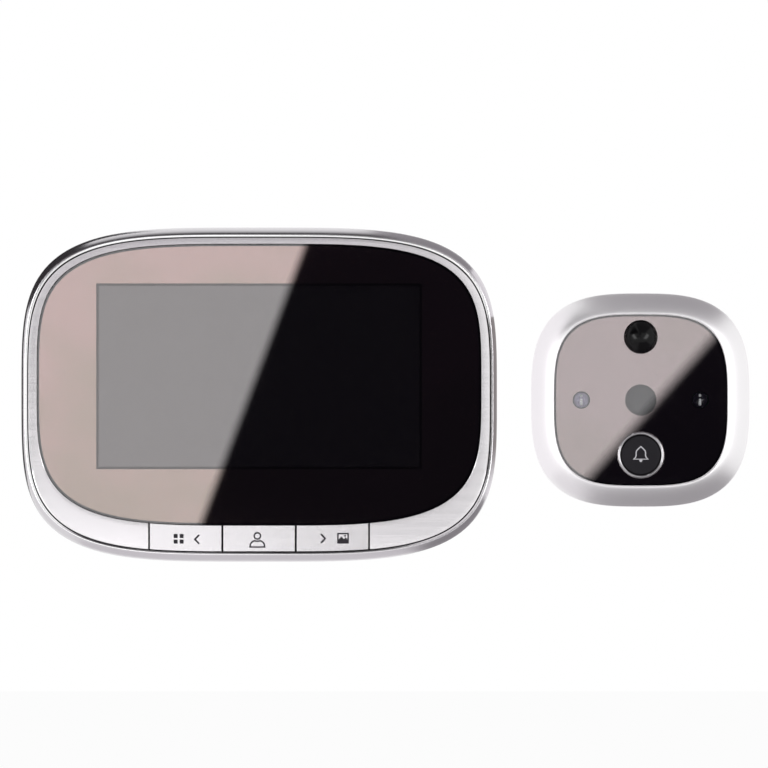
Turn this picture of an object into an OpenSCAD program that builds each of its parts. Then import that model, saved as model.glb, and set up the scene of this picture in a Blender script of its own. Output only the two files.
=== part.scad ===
// Door viewer in two units: an indoor screen unit that hangs on a door bracket,
// and the outdoor camera with its bell button. Millimetres.
// Each unit is drawn with its front towards +Z and its top towards +Y, with the door at z = 0,
// and is then stood up so that its front faces -Y and its top +Z.

/* [Indoor unit outline] */
// Room between the display's frame and the left and right sides of the unit
side_room = 17.25; // [15.5:0.25:22]
// Room between the display's frame and the top and bottom of the unit, on average
end_room = 15.6; // [14.5:0.1:19]
// Depth from the door to the face of the front plate
monitor_d = 22; // [21.5:0.5:26]
// Squareness of the indoor outline, where 2 is an ellipse
monitor_n = 3.9; // [3.6:0.1:4.6]

/* [Indoor housing] */
// Gap between the door and the back of the rear cover
door_gap = 0.6; // [0.4:0.1:1.2]
// Wall of the rear cover
cover_wall = 1.8; // [1.4:0.1:2.2]
// How far the flat back lies inside the outline
back_inset = 7; // [5.5:0.5:8]
// Step in of the outline at the seam between cover and housing
seam_inset = 0.5; // [0.3:0.1:0.8]
// Wall of the middle housing
housing_wall = 2.4; // [2.1:0.1:2.8]
// Width of the rounded shoulder at the left and right
shoulder_x = 1.15; // [0.8:0.05:1.6]
// Width of the rounded shoulder at the top and bottom
shoulder_y = 2.1; // [1.6:0.1:2.6]
// Height of the rounded shoulder
shoulder_h = 5.2; // [4:0.2:6]
// Width of the polished rim around the front plate
rim_w = 0.6; // [0.4:0.05:0.9]
// How far the rim lies below the face of the front plate
rim_drop = 0.2; // [0:0.05:0.4]
// Height of the lip by which the rear cover enters the housing
lip_h = 1.2; // [0.8:0.1:1.4]
// Thickness of that lip
lip_t = 1; // [0.8:0.1:1.2]

/* [Front plate and glass] */
// Thickness of the brushed front plate
plate_t = 1.6; // [1.2:0.1:1.8]
// Gap between the front plate and the polished rim
plate_gap = 0.35; // [0.2:0.05:0.5]
// Width of the front plate beside the glass
plate_side = 2.45; // [2:0.05:4]
// Width of the front plate above the glass
plate_top = 1.76; // [1.4:0.02:4]
// Height of the chin below the glass, where the keys are
chin_h = 7.64; // [7:0.02:9]
// Thickness of the front glass
glass_t = 1.3; // [1:0.1:1.5]
// How far the glass lies below the face of the front plate
glass_sink = 0.4; // [0.2:0.05:0.6]
// Gap around the glass
glass_gap = 0.15; // [0.1:0.05:0.25]
// Thickness of the half-mirror film behind the glass
film_t = 0.15; // [0.1:0.05:0.3]
// Thickness of the seat under the glass
seat_t = 1.55; // [1.2:0.05:1.65]

/* [Keys] */
// Distance from one key to the next
key_pitch = 21.6; // [19:0.1:23]
// Gap between neighbouring keys
key_gap = 0.3; // [0.2:0.05:0.5]
// Thickness of a key's cap
key_cap_t = 1.5; // [1.2:0.1:1.6]
// Travel of a key
key_travel = 0.5; // [0.3:0.05:0.6]
// Radius of the post that presses the switch
key_post_r = 1.6; // [1.3:0.1:2]
// Distance of a snap leg from the middle of its key
key_leg_x = 7.2; // [6:0.1:7.6]
// Width of a snap leg
key_leg_w = 3; // [2:0.1:3.4]
// Thickness of a snap leg
key_leg_t = 1; // [0.8:0.1:1.2]
// Reach and height of the barb on a snap leg
key_barb = 0.6; // [0.5:0.05:0.7]
// Side of a key switch
switch_w = 4.5; // [4:0.1:5]
// Height of a key switch
switch_h = 1.8; // [1.6:0.1:2]
// Radius of a key switch's stem
switch_stem_r = 1.1; // [0.9:0.05:1.3]

/* [Display] */
// Width of the picture
view_w = 95.04; // [90:0.01:97]
// Height of the picture
view_h = 53.86; // [50:0.01:56]
// Height of the picture's middle above the middle of the glass
view_rise = 2.46; // [1.5:0.01:3]
// Border of the display glass around the picture
panel_border = 2.2; // [1.6:0.1:2.4]
// Thickness of the display glass
panel_t = 1.85; // [1.7:0.05:2.2]
// Thickness of the backlight
backlight_t = 2.4; // [2:0.1:2.6]
// Reach of the display's steel frame past the picture, left and right
frame_side = 5.23; // [4.8:0.01:6]
// Reach of the display's steel frame past the picture, top and bottom
frame_end = 6.67; // [5.5:0.01:7]
// Sheet thickness of the display's frame
frame_t = 0.4; // [0.3:0.05:0.6]

/* [Electronics] */
// Thickness of the circuit boards
board_t = 1.4; // [1:0.1:1.6]
// Space between the main board and the display
board_gap = 2.1; // [2:0.1:2.6]
// Width of the battery pack
battery_w = 19; // [16:0.5:20]
// Height of the battery pack
battery_h = 44; // [36:1:46]
// Thickness of the battery pack
battery_t = 7; // [5:0.2:7.6]
// Radius of the loudspeaker
speaker_r = 9.5; // [8:0.1:10]
// Depth of the loudspeaker
speaker_h = 4.2; // [3.6:0.1:5]
// Radius of a case screw's post
post_r = 2.8; // [2.5:0.1:3]
// Radius of a case screw
screw_r = 1; // [0.9:0.05:1.2]
// Radius of a case screw's head
screw_head_r = 2; // [1.8:0.05:2.1]
// Travel of the power switch
power_travel = 2; // [1.5:0.1:2.4]
// Height of the charging socket's middle
usb_y = 2; // [0:0.5:3]
// Height of the memory card slot's middle
card_y = 18; // [16:0.5:19]
// Height of the power switch's middle
power_y = -14; // [-17:0.5:-11]

/* [Door bracket] */
// Width of the bracket
bracket_w = 74; // [72:0.5:76]
// Height of the bracket
bracket_h = 50; // [48:0.5:52]
// Sheet thickness of the bracket
bracket_t = 1.5; // [1.2:0.1:1.6]
// Radius of the cable hole in the bracket
cable_hole_r = 6; // [5:0.1:7]
// Distance between the two door screws
door_screw_pitch = 26; // [25:0.5:28]
// Width of a door screw's slot
door_slot_w = 4.5; // [4.2:0.1:5]
// Length of a door screw's slot
door_slot_l = 8; // [7:0.1:9]
// Distance between the left and right hooks
hook_pitch_x = 58; // [56:0.5:60]
// Distance between the upper and lower hooks
hook_pitch_y = 26; // [25:0.5:28]
// Width of a hook
hook_w = 10; // [8:0.5:11]
// Height of a hook's tip above its shelf
hook_tip = 4.5; // [4:0.1:5]
// Lift that takes the indoor unit off the hooks
hook_lift = 5.2; // [5.1:0.1:6]
// Depth of the cable well from the door
well_d = 8.2; // [7.6:0.1:8.8]
// Width of the cable well
well_w = 40; // [38:0.5:42]
// Height of the cable well above the middle
well_top = 9; // [7:0.5:9.5]
// Depth of the cable well below the middle
well_bottom = 12; // [11:0.5:13]

/* [Outdoor unit] */
// Space between the two units
unit_gap = 10.2; // [6:0.2:40]
// How much lower the outdoor unit lies
outdoor_drop = 1.6; // [0:0.1:10]
// Width of the outdoor unit
camera_w = 64.4; // [62:0.2:70]
// Height of the outdoor unit
camera_h = 62.9; // [61:0.1:70]
// Squareness of the outdoor outline
camera_n = 3; // [2.8:0.1:3.4]
// Depth from the door to the face of the camera panel
camera_d = 15; // [14.6:0.1:18]
// Width of the rounded rim at the left and right
cheek_x = 6.5; // [6:0.1:8]
// Width of the rounded rim at the top and bottom
cheek_y = 6.1; // [5.8:0.1:8]
// Squareness of the camera panel
panel_n = 3.3; // [3.1:0.1:3.6]
// Thickness of the camera panel
camera_panel_t = 1.4; // [1:0.1:1.6]
// How far the rim stands proud of the panel
cheek_proud = 0.3; // [0.1:0.05:0.5]
// Height of the straight side of the rim above the door
cheek_foot = 5; // [4:0.2:6]
// Wall of the rim
cheek_wall = 1.8; // [1.5:0.1:2.2]
// Thickness of the foam gasket on the door
gasket_t = 1; // [0.6:0.1:1.5]
// Thickness of the back plate
back_plate_t = 2.4; // [2:0.1:2.8]
// Height of the back plate's posts
back_post_h = 3.6; // [3.4:0.1:4]
// Distance of a case post from the middle, both ways
back_post_at = 21; // [20.5:0.1:21.4]
// Radius of the cable outlet
outlet_r = 3; // [2.4:0.1:3.4]
// Bore radius of a threaded insert
insert_r = 1.65; // [1.4:0.05:1.8]
// Length of a threaded insert
insert_l = 5; // [4:0.1:5.2]

/* [Outdoor front] */
// Radius of the motion sensor's dome
pir_r = 4.9; // [4.6:0.05:5]
// Height of the dome above the panel
pir_h = 3; // [2:0.1:4]
// Height of the dome above the middle of the panel
pir_y = 18.6; // [18:0.1:18.8]
// Radius of the clear window before the lens
lens_window_r = 4.6; // [4.2:0.05:5]
// Radius of the lens barrel
barrel_r = 4; // [3.6:0.05:4.2]
// Distance of a night light from the middle
led_x = 17.5; // [16.5:0.1:18]
// Radius of a night light
led_r = 2.5; // [2:0.05:2.7]
// Radius of the bell button
bell_r = 5.75; // [5.2:0.05:6]
// Height of the bell button's middle
bell_y = -16.2; // [-16.6:0.1:-15.6]
// Outer radius of the ring around the bell button
bell_ring_r = 6.9; // [6.8:0.05:7.1]
// Travel of the bell button
bell_travel = 0.8; // [0.5:0.05:1]

/* [Hidden] */

$fn = 48;
// Points around each rounded-square outline, in each corner arc and in each round profile
ring_n = 96;
corner_n = 6;
arc_n = 8;
// How far a cutting shape reaches past what it cuts
over = 1;
// Clearances: around a seated piece, around a moving piece, around a screw, beside the bracket
seat_play = 0.05;
slide_play = 0.3;
screw_play = 0.1;
bracket_play = 0.6;
// Width taken off a slot's straight sides, so that they cross its round ends cleanly
slot_ease = 0.04;

// The display sets the size of the indoor unit
frame_w = view_w + 2 * frame_side;
frame_h = view_h + 2 * frame_end;
monitor_w = frame_w + 2 * side_room;
monitor_h = frame_h + 2 * end_room;

// Depths of the indoor unit, counted from the door
plate_z = monitor_d - plate_t;
glass_face_z = monitor_d - glass_sink;
glass_back_z = glass_face_z - glass_t;
seat_z = glass_back_z - film_t;
deck_z = seat_z - seat_t;
panel_back_z = seat_z - panel_t;
backlight_z = panel_back_z - backlight_t;
frame_z = backlight_z - frame_t;
board_z = frame_z - board_gap;
board_back_z = board_z - board_t;
lip_room = 0.4;
seam_z = board_back_z - lip_h - lip_room;
floor_z = door_gap + cover_wall;

// Outlines of the indoor unit: half width, half height, squareness, height of the middle
body_o = [monitor_w / 2, monitor_h / 2, monitor_n, 0];
recess_o = [body_o[0] - shoulder_x - rim_w, body_o[1] - shoulder_y - rim_w, monitor_n, 0];
plate_o = shrink(recess_o, plate_gap);
opening_o = [
    plate_o[0] - plate_side,
    plate_o[1] - (plate_top + chin_h) / 2,
    monitor_n,
    (chin_h - plate_top) / 2
];
glass_o = shrink(opening_o, glass_gap);
cavity_o = shrink(body_o, housing_wall);
board_edge = 1.2;
board_o = shrink(cavity_o, board_edge);
lip_fit = 0.15;
lip_o = shrink(cavity_o, lip_fit);

// Keys, counted from the left: -1, 0 and 1
key_ids = [-1, 0, 1];
key_y = -plate_o[1] + chin_h / 2;
key_zone_w = len(key_ids) * key_pitch;
key_back_z = monitor_d - key_cap_t;
key_float = 0.4;
key_floor_z = key_back_z - key_travel - key_float;
switch_top_z = board_z + switch_h;
stem_proud = key_travel + slide_play;
stem_in = 0.9;
switch_floor = 0.3;
barb_top_z = deck_z - slide_play;

// Display
view_y = opening_o[3] + view_rise;
panel_w = view_w + 2 * panel_border;
panel_h = view_h + 2 * panel_border;
window_play = 0.5;
film_margin = 0.4;

// Bracket, hooks and the pocket of the rear cover that takes them
pocket_wall = 1.6;
pocket_room = 1.2;
pocket_z = bracket_t + pocket_room;
pocket_in_z = pocket_z + pocket_wall;
pocket_w = bracket_w + 2 * bracket_play;
pocket_top = bracket_h / 2 + bracket_play;
pocket_bottom = bracket_h / 2 + hook_lift + bracket_play;
hook_t = 1.4;
hook_z = pocket_in_z + slide_play + hook_t;
hook_rest = 0.15;
hook_window_h = hook_tip + hook_z - bracket_t;
well_wall = 1.4;
bracket_corner = 5;

// Case screws of the indoor unit, set clear of the display's frame
post_gap = 1.45;
screw_x = frame_w / 2 + post_r + post_gap;
screw_from_top = 20.2;
screw_from_bottom = 18.2;
screw_rows = [body_o[1] - screw_from_top, screw_from_bottom - body_o[1]];
screw_spots = [for (sx = [-1, 1]) for (y = screw_rows) [sx * screw_x, y]];
screw_head_h = 2;
screw_sink = 0.4;
screw_tip = 1.6;
screw_end_z = deck_z - screw_tip;

// Battery and loudspeaker, on either side of the bracket's pocket
side_x = pocket_w / 2 + pocket_wall + slide_play;
rib_t = 1.1;
rib_h = 2.5;
battery_play = 0.5;
battery_x = -side_x - battery_w / 2 - battery_play;
speaker_x = side_x + rib_t + speaker_r + slide_play;
grille_slots = 5;
grille_pitch = 2.8;
grille_w = 1.4;

// Sockets in the left wall: depth into the unit, width along the wall and height.
// Each mouth lies close to the wall, which curves in towards the corners
usb_size = [5.4, 7.6, 2.7];
card_size = [12, 11.8, 1.9];
power_size = [3.6, 8.6, 3.4];
port_gap = 0.2;
usb_x = port_gap - side_at(cavity_o, abs(usb_y) + usb_size.y / 2);
card_x = port_gap - side_at(cavity_o, abs(card_y) + card_size.y / 2);
power_x = port_gap - side_at(cavity_o, abs(power_y) + power_size.y / 2);
usb_tongue = [4.4, 5.6, 0.6];
card_slit = 0.8;
knob_pocket = 2.6;
socket_size = [10, 6];
shell_t = 0.3;
knob_w = 1.8;
knob_sink = 0.6;
power_z = board_z + power_size.z / 2;

// Outdoor unit: place, outlines and depths
outdoor_at = [monitor_w / 2 + unit_gap + camera_w / 2, -outdoor_drop];
camera_o = [camera_w / 2, camera_h / 2, camera_n, 0];
hole_o = [camera_o[0] - cheek_x, camera_o[1] - cheek_y, panel_n, 0];
panel_o = shrink(hole_o, glass_gap);
ledge_w = 0.95;
ledge_o = shrink(hole_o, ledge_w);
ledge_t = 1.35;
camera_seat_z = camera_d - camera_panel_t - film_t;
ledge_z = camera_seat_z - ledge_t;
back_plate_z = gasket_t + back_plate_t;
camera_board_back_z = back_plate_z + back_post_h;
camera_board_z = camera_board_back_z + board_t;
cheek_top_z = camera_d + cheek_proud;
// The rim's arc stops short of level at this angle, where its inner lip begins
cheek_sweep = 78;
cheek_steps = 7;
lip_fall = 0.15;
lip_in = 0.35;
back_plate_fit = 0.2;
gasket_edge = 0.7;
camera_board_edge = 2.2;
back_plate_o = shrink(camera_o, cheek_wall + back_plate_fit);
gasket_o = shrink(camera_o, gasket_edge);
camera_board_o = shrink(camera_o, cheek_wall + camera_board_edge);
back_spots = [for (sx = [-1, 1]) for (sy = [-1, 1]) [sx * back_post_at, sy * back_post_at]];
back_post_r = 2.7;
camera_screw_r = 0.95;
camera_head_r = 1.8;
camera_head_h = 1.4;
insert_wall = 0.75;
insert_post_wall = 1.6;
insert_post_r = insert_r + insert_wall + insert_post_wall;
insert_cap = 0.4;
insert_spots = [for (sx = [-1, 1]) [sx * door_screw_pitch / 2, 0]];
grommet_wall = 1.95;
grommet_r = outlet_r + grommet_wall;
gasket_hole = 0.8;

// Outdoor front: each piece stands on the board or hangs in the panel
pir_wall = 0.7;
pir_flange = [0.4, 0.9];
pir_sensor_h = 4;
lens_window_t = 0.4;
lens_window_gap = 0.25;
holder_w = 9.4;
holder_h = 2.4;
lens_r = 2.6;
sensor_size = [4.6, 4.6, 0.7];
led_flange = [0.4, 1];
led_gap = 0.35;
bell_play = 0.2;
bell_bore_r = bell_r + bell_play;
ring_wall = 0.4;
bell_neck_r = bell_bore_r + ring_wall;
bell_hole_r = bell_neck_r + screw_play;
ring_h = 0.7;
ring_tail = 0.6;
ring_bottom_z = camera_seat_z - ring_tail;
bell_gap = 0.25;
bell_flange_t = 0.6;
bell_flange_z = ring_bottom_z - bell_gap - bell_flange_t;
bell_sink = 0.25;
bell_post_r = 1.8;
bell_switch_size = [6, 6, 1.6];
bell_stem_r = 1.2;
bell_stem_top_z = camera_board_z + bell_switch_size.z + bell_travel + slide_play;
bell_stem_in = 0.5;
bell_switch_floor = 0.15;

function lerp(p, q, f) = p + (q - p) * f;
function shrink(o, d) = [o[0] - d, o[1] - d, o[2], o[3]];
function side_at(o, y) = o[0] * pow(1 - pow(abs(y - o[3]) / o[1], o[2]), 1 / o[2]);
function bent(c, n) = sign(c) * pow(abs(c), 2 / n);
function squircle(a, b, n) = [
    for (i = [0:ring_n - 1])
        let (t = 360 * i / ring_n)
            [a * bent(cos(t), n), b * bent(sin(t), n)]
];
function arc(cx, cy, r, from, to, steps) = [
    for (i = [0:steps])
        let (t = lerp(from, to, i / steps))
            [cx + r * cos(t), cy + r * sin(t)]
];
function rounded(w, h, r) = concat(
    arc(w / 2 - r, h / 2 - r, r, 0, 90, corner_n),
    arc(r - w / 2, h / 2 - r, r, 90, 180, corner_n),
    arc(r - w / 2, r - h / 2, r, 180, 270, corner_n),
    arc(w / 2 - r, r - h / 2, r, 270, 360, corner_n)
);

// Stands a unit up: its front turns to -Y and its top to +Z
module indoor() {
    rotate([90, 0, 0]) children();
}

module outdoor() {
    translate([outdoor_at.x, 0, outdoor_at.y]) rotate([90, 0, 0]) children();
}

// Straight solid on a rounded-square outline
module slab(o, z0, z1) {
    translate([0, o[3], z0]) linear_extrude(z1 - z0) polygon(squircle(o[0], o[1], o[2]));
}

// Box on the middle of its underside
module block(at, size) {
    translate([at.x - size.x / 2, at.y - size.y / 2, at.z]) cube(size);
}

// Upright rod at a spot
module rod(at, r, z0, z1) {
    translate([at.x, at.y, z0]) cylinder(r = r, h = z1 - z0);
}

// Solid through a stack of rounded-square rings, each [half width, half height, squareness, z]
module loft(rings) {
    last = (len(rings) - 1) * ring_n;
    points = [for (r = rings) for (p = squircle(r[0], r[1], r[2])) [p.x, p.y, r[3]]];
    sides = [
        for (k = [0:len(rings) - 2])
            for (i = [0:ring_n - 1])
                let (j = (i + 1) % ring_n, low = k * ring_n, high = low + ring_n)
                    each [[low + i, high + i, high + j], [low + i, high + j, low + j]]
    ];
    bottom = [[for (i = [0:ring_n - 1]) i]];
    top = [[for (i = [0:ring_n - 1]) last + ring_n - 1 - i]];
    polyhedron(points, concat(bottom, sides, top));
}

function body_ring(inset_x, inset_y, z) = [body_o[0] - inset_x, body_o[1] - inset_y, monitor_n, z];

// Rear cover: a tapered tray with a pocket for the bracket, a cable well and a lip
back_round = 2.3;
back_sweep = 60;
back_steps = 3;
floor_step = 0.4;
floor_rise = 1;
cover_outside = concat(
    [
        for (i = [0:back_steps])
            let (t = back_sweep * i / back_steps, inset = back_inset - back_round * sin(t))
                body_ring(inset, inset, door_gap + back_round * (1 - cos(t)))
    ],
    [body_ring(seam_inset, seam_inset, seam_z)]
);
cover_inside = [
    body_ring(back_inset + floor_step, back_inset + floor_step, floor_z),
    body_ring(back_inset - floor_step, back_inset - floor_step, floor_z + floor_rise),
    body_ring(seam_inset + cover_wall, seam_inset + cover_wall, seam_z),
    body_ring(seam_inset + cover_wall, seam_inset + cover_wall, seam_z + over)
];

module cover_lip() {
    root = 2;
    difference() {
        slab(lip_o, seam_z - root, seam_z + lip_h);
        slab(shrink(lip_o, lip_t), seam_z - root - over, seam_z + lip_h + over);
    }
}

// The bracket's pocket, grown by a wall on every side
module pocket_space(wall, z0, z1) {
    middle = (pocket_top - pocket_bottom) / 2;
    block([0, middle, z0], [pocket_w + 2 * wall, pocket_top + pocket_bottom + 2 * wall, z1 - z0]);
}

module well_space(wall, z0, z1) {
    middle = (well_top - well_bottom) / 2;
    block([0, middle, z0], [well_w + 2 * wall, well_top + well_bottom + 2 * wall, z1 - z0]);
}

module speaker_seat() {
    difference() {
        rod([speaker_x, 0], speaker_r + slide_play + rib_t, floor_z - over / 2, floor_z + rib_h);
        rod([speaker_x, 0], speaker_r + slide_play, floor_z - over, floor_z + rib_h + over);
    }
}

module battery_ribs() {
    for (side = [-1, 1])
        block(
            [battery_x, side * (battery_h + rib_t) / 2 + side * slide_play, floor_z - over / 2],
            [battery_w * 0.6, rib_t, rib_h + over / 2]
        );
}

module speaker_grille() {
    for (i = [0:grille_slots - 1]) {
        y = (i - (grille_slots - 1) / 2) * grille_pitch;
        chord = 2 * sqrt(pow(speaker_r - 1.5, 2) - y * y);
        block([speaker_x, y, door_gap - over], [chord, grille_w, cover_wall + 2 * over]);
    }
}

function hook_shelf_y(sy) = sy * hook_pitch_y / 2;

module hook_slots() {
    slot_h = hook_rest + bracket_t + hook_lift + slide_play;
    for (sx = [-1, 1])
        for (sy = [-1, 1])
            block(
                [sx * hook_pitch_x / 2, hook_shelf_y(sy) + hook_rest - slot_h / 2, pocket_z - over],
                [hook_w + 2 * slide_play, slot_h, pocket_wall + 2 * over]
            );
}

module rear_cover() {
    color("#1d1d20") indoor() difference() {
        union() {
            difference() {
                loft(cover_outside);
                loft(cover_inside);
            }
            cover_lip();
            pocket_space(pocket_wall, door_gap + 0.2, pocket_in_z);
            well_space(well_wall, pocket_z, well_d + well_wall);
            speaker_seat();
            battery_ribs();
            for (p = screw_spots) rod(p, post_r + 0.2, floor_z - over / 2, board_back_z);
        }
        pocket_space(0, door_gap - over, pocket_z);
        well_space(0, pocket_z - over, well_d);
        block([0, 0, well_d - over], [socket_size.x + 0.6, socket_size.y + 0.6, well_wall + 2 * over]);
        hook_slots();
        speaker_grille();
        for (p = screw_spots) {
            rod(p, screw_r + screw_play, door_gap - over, board_back_z + over);
            rod(p, screw_head_r + screw_play, door_gap - over, door_gap + screw_sink + screw_head_h);
        }
    }
}

// Middle housing: rounded shoulder, polished rim, seat for the glass and deck for the keys
shoulder_steps = 5;
rim_fall = 0.15;
seam_round = 2;
shoulder_top_z = monitor_d - rim_drop - rim_fall;
housing_outside = concat(
    [
        body_ring(seam_inset, seam_inset, seam_z),
        body_ring(seam_inset * 0.2, seam_inset * 0.2, seam_z + seam_round * 0.4),
        body_ring(0, 0, seam_z + seam_round)
    ],
    [
        for (i = [0:shoulder_steps])
            let (t = 90 * i / shoulder_steps)
                body_ring(
                    shoulder_x * (1 - cos(t)),
                    shoulder_y * (1 - cos(t)),
                    shoulder_top_z - shoulder_h * (1 - sin(t))
                )
    ],
    [
        body_ring(
            shoulder_x + rim_w + seat_play,
            shoulder_y + rim_w + seat_play,
            monitor_d - rim_drop
        )
    ]
);

// Space of the three keys, from the edge of the glass to the rim
module key_zone(o, w, z0, z1) {
    difference() {
        intersection() {
            slab(o, z0, z1);
            block([0, -body_o[1], z0 - over], [w, body_o[1], z1 - z0 + 2 * over]);
        }
        slab(opening_o, z0 - over, z1 + over);
    }
}

module key_holes() {
    for (k = key_ids) {
        x = k * key_pitch;
        rod([x, key_y], key_post_r + slide_play, deck_z - over, key_floor_z + over);
        for (side = [-1, 1])
            block(
                [x + side * key_leg_x, key_y + key_barb / 2, deck_z - over],
                [
                    key_leg_w + 2 * slide_play,
                    key_leg_t + key_barb + 2 * slide_play,
                    key_floor_z - deck_z + 2 * over
                ]
            );
    }
}

// Cut through the left wall, as far in as the mouth of its socket
module port_cut(mouth_x, y, z, w, h) {
    reach = body_o[0] + over + mouth_x;
    block([mouth_x - reach / 2, y, z], [reach, w, h]);
}

module port_openings() {
    port_cut(
        usb_x,
        usb_y,
        board_z - slide_play,
        usb_size.y + 2 * slide_play,
        usb_size.z + 2 * slide_play
    );
    port_cut(card_x, card_y, board_z, card_size.y, card_size.z);
    port_cut(
        power_x,
        power_y,
        power_z - knob_w / 2 - slide_play,
        knob_w + power_travel + 2 * slide_play,
        knob_w + 2 * slide_play
    );
}

module mid_housing() {
    color("#b9b9bd") indoor() difference() {
        union() {
            difference() {
                loft(housing_outside);
                slab(cavity_o, seam_z - over, deck_z);
            }
            for (p = screw_spots) rod(p, post_r, board_z, deck_z + over / 2);
        }
        slab(recess_o, plate_z, monitor_d + over);
        slab(opening_o, seat_z, monitor_d + over);
        key_zone(recess_o, key_zone_w + key_gap, key_floor_z, monitor_d + over);
        block(
            [0, view_y, deck_z - over],
            [panel_w + 2 * window_play, panel_h + 2 * window_play, seat_t + 2 * over]
        );
        for (p = screw_spots) rod(p, screw_r + screw_play, board_z - over, screw_end_z + lip_room);
        key_holes();
        port_openings();
    }
}

module front_bezel() {
    color("#d4d4d8") indoor() difference() {
        slab(plate_o, plate_z, monitor_d);
        slab(opening_o, plate_z - over, monitor_d + over);
        block(
            [0, -body_o[1] + opening_o[3] / 2, plate_z - over],
            [key_zone_w + key_gap, body_o[1], plate_t + 2 * over]
        );
    }
}

module front_glass() {
    color("#8c8287", 0.6) indoor() slab(glass_o, glass_back_z, glass_face_z);
}

module mirror_film() {
    color("#b3a5a4") indoor() difference() {
        slab(glass_o, seat_z, glass_back_z);
        block(
            [0, view_y, seat_z - over],
            [view_w + 2 * film_margin, view_h + 2 * film_margin, film_t + 2 * over]
        );
    }
}

module lcd_panel() {
    color("#3c3c42") indoor() block([0, view_y, panel_back_z], [panel_w, panel_h, panel_t]);
}

module lcd_backlight() {
    play = frame_t + 0.2;
    color("#e8e8e4") indoor()
        block([0, view_y, backlight_z], [frame_w - 2 * play, frame_h - 2 * play, backlight_t]);
}

module lcd_frame() {
    color("#9a9ca0") indoor() difference() {
        block([0, view_y, frame_z], [frame_w, frame_h, deck_z - frame_z]);
        block(
            [0, view_y, backlight_z],
            [frame_w - 2 * frame_t, frame_h - 2 * frame_t, deck_z - backlight_z + over]
        );
    }
}

module main_board() {
    color("#1f5a36") indoor() difference() {
        slab(board_o, board_back_z, board_z);
        for (p = screw_spots) rod(p, screw_r + screw_play, board_back_z - over, board_z + over);
    }
}

// Push switch base with a blind bore for its stem
module switch_base(at, size, bore_r, floor_t) {
    difference() {
        block(at, size);
        rod(at, bore_r, at.z + floor_t, at.z + size.z + over);
    }
}

module key_switches() {
    color("#2a2a2c") indoor()
        for (k = key_ids)
            switch_base(
                [k * key_pitch, key_y, board_z],
                [switch_w, switch_w, switch_h],
                switch_stem_r + screw_play,
                switch_floor
            );
}

// Key cap with its switch post and two snap legs
module key_cap(k) {
    x = k * key_pitch;
    stem_top_z = switch_top_z + stem_proud;
    root = key_cap_t / 2;
    indoor() union() {
        intersection() {
            key_zone(plate_o, key_zone_w, key_back_z, monitor_d);
            block(
                [x, -body_o[1], key_back_z - over],
                [key_pitch - key_gap, 2 * body_o[1], key_cap_t + 2 * over]
            );
        }
        rod([x, key_y], key_post_r, stem_top_z, key_back_z + root);
        for (side = [-1, 1]) {
            leg_x = x + side * key_leg_x;
            foot_z = barb_top_z - key_barb;
            block([leg_x, key_y, foot_z], [key_leg_w, key_leg_t, key_back_z + root - foot_z]);
            block(
                [leg_x, key_y + key_barb / 2, foot_z],
                [key_leg_w, key_leg_t + key_barb, key_barb]
            );
        }
    }
}

module key_stem(k) {
    indoor()
        rod(
            [k * key_pitch, key_y],
            switch_stem_r,
            switch_top_z - stem_in,
            switch_top_z + stem_proud
        );
}

module key_menu() { color("#dcdbe0") key_cap(key_ids[0]); }

module key_menu_stem() { color("#303033") key_stem(key_ids[0]); }

module key_view() { color("#dcdbe0") key_cap(key_ids[1]); }

module key_view_stem() { color("#303033") key_stem(key_ids[1]); }

module key_gallery() { color("#dcdbe0") key_cap(key_ids[2]); }

module key_gallery_stem() { color("#303033") key_stem(key_ids[2]); }

module cable_socket() {
    color("#e9e6da") indoor() difference() {
        block([0, 0, well_d], [socket_size.x, socket_size.y, board_back_z - well_d]);
        block(
            [0, 0, well_d - over],
            [socket_size.x - 4 * shell_t, socket_size.y - 4 * shell_t, board_back_z - well_d - shell_t]
        );
    }
}

module usb_socket() {
    middle = [usb_x + usb_size.x / 2, usb_y, board_z];
    back_x = usb_x + usb_size.x;
    color("#b8b8bc") indoor() union() {
        difference() {
            block(middle, usb_size);
            block(
                [middle.x - 2 * shell_t, usb_y, board_z + shell_t],
                [usb_size.x, usb_size.y - 2 * shell_t, usb_size.z - 2 * shell_t]
            );
        }
        block(
            [back_x - usb_tongue.x / 2, usb_y, board_z + (usb_size.z - usb_tongue.z) / 2],
            usb_tongue
        );
    }
}

module card_socket() {
    middle = [card_x + card_size.x / 2, card_y, board_z];
    color("#b8b8bc") indoor() difference() {
        block(middle, card_size);
        block(
            [middle.x - over, card_y, board_z + 2 * shell_t],
            [card_size.x, card_size.y - 2 * shell_t, card_slit]
        );
    }
}

module power_switch_body() {
    pocket = [knob_pocket, knob_w + power_travel + 2 * slide_play, knob_w + 2 * slide_play];
    color("#c4c4c8") indoor() difference() {
        block([power_x + power_size.x / 2, power_y, board_z], power_size);
        block(
            [power_x + pocket.x / 2 - over / 2, power_y, power_z - pocket.z / 2],
            [pocket.x + over, pocket.y, pocket.z]
        );
    }
}

module power_knob() {
    tip_x = -body_o[0] + knob_sink;
    root_x = power_x + knob_pocket - slide_play;
    color("#151517") indoor()
        block(
            [(tip_x + root_x) / 2, power_y - power_travel / 2, power_z - knob_w / 2],
            [root_x - tip_x, knob_w, knob_w]
        );
}

module battery_pack() {
    color("#5b6f8c") indoor() block([battery_x, 0, floor_z], [battery_w, battery_h, battery_t]);
}

// Loudspeaker: basket, cone facing the door, and magnet
module speaker() {
    r = speaker_r;
    h = speaker_h;
    color("#26262a") indoor() translate([speaker_x, 0, floor_z]) rotate_extrude()
        polygon([
            [0, h * 0.45], [r * 0.3, h * 0.3], [r * 0.8, h * 0.08], [r * 0.86, 0], [r, 0],
            [r, h * 0.3], [r * 0.82, h * 0.55], [r * 0.6, h * 0.6], [r * 0.6, h], [0, h]
        ]);
}

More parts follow.
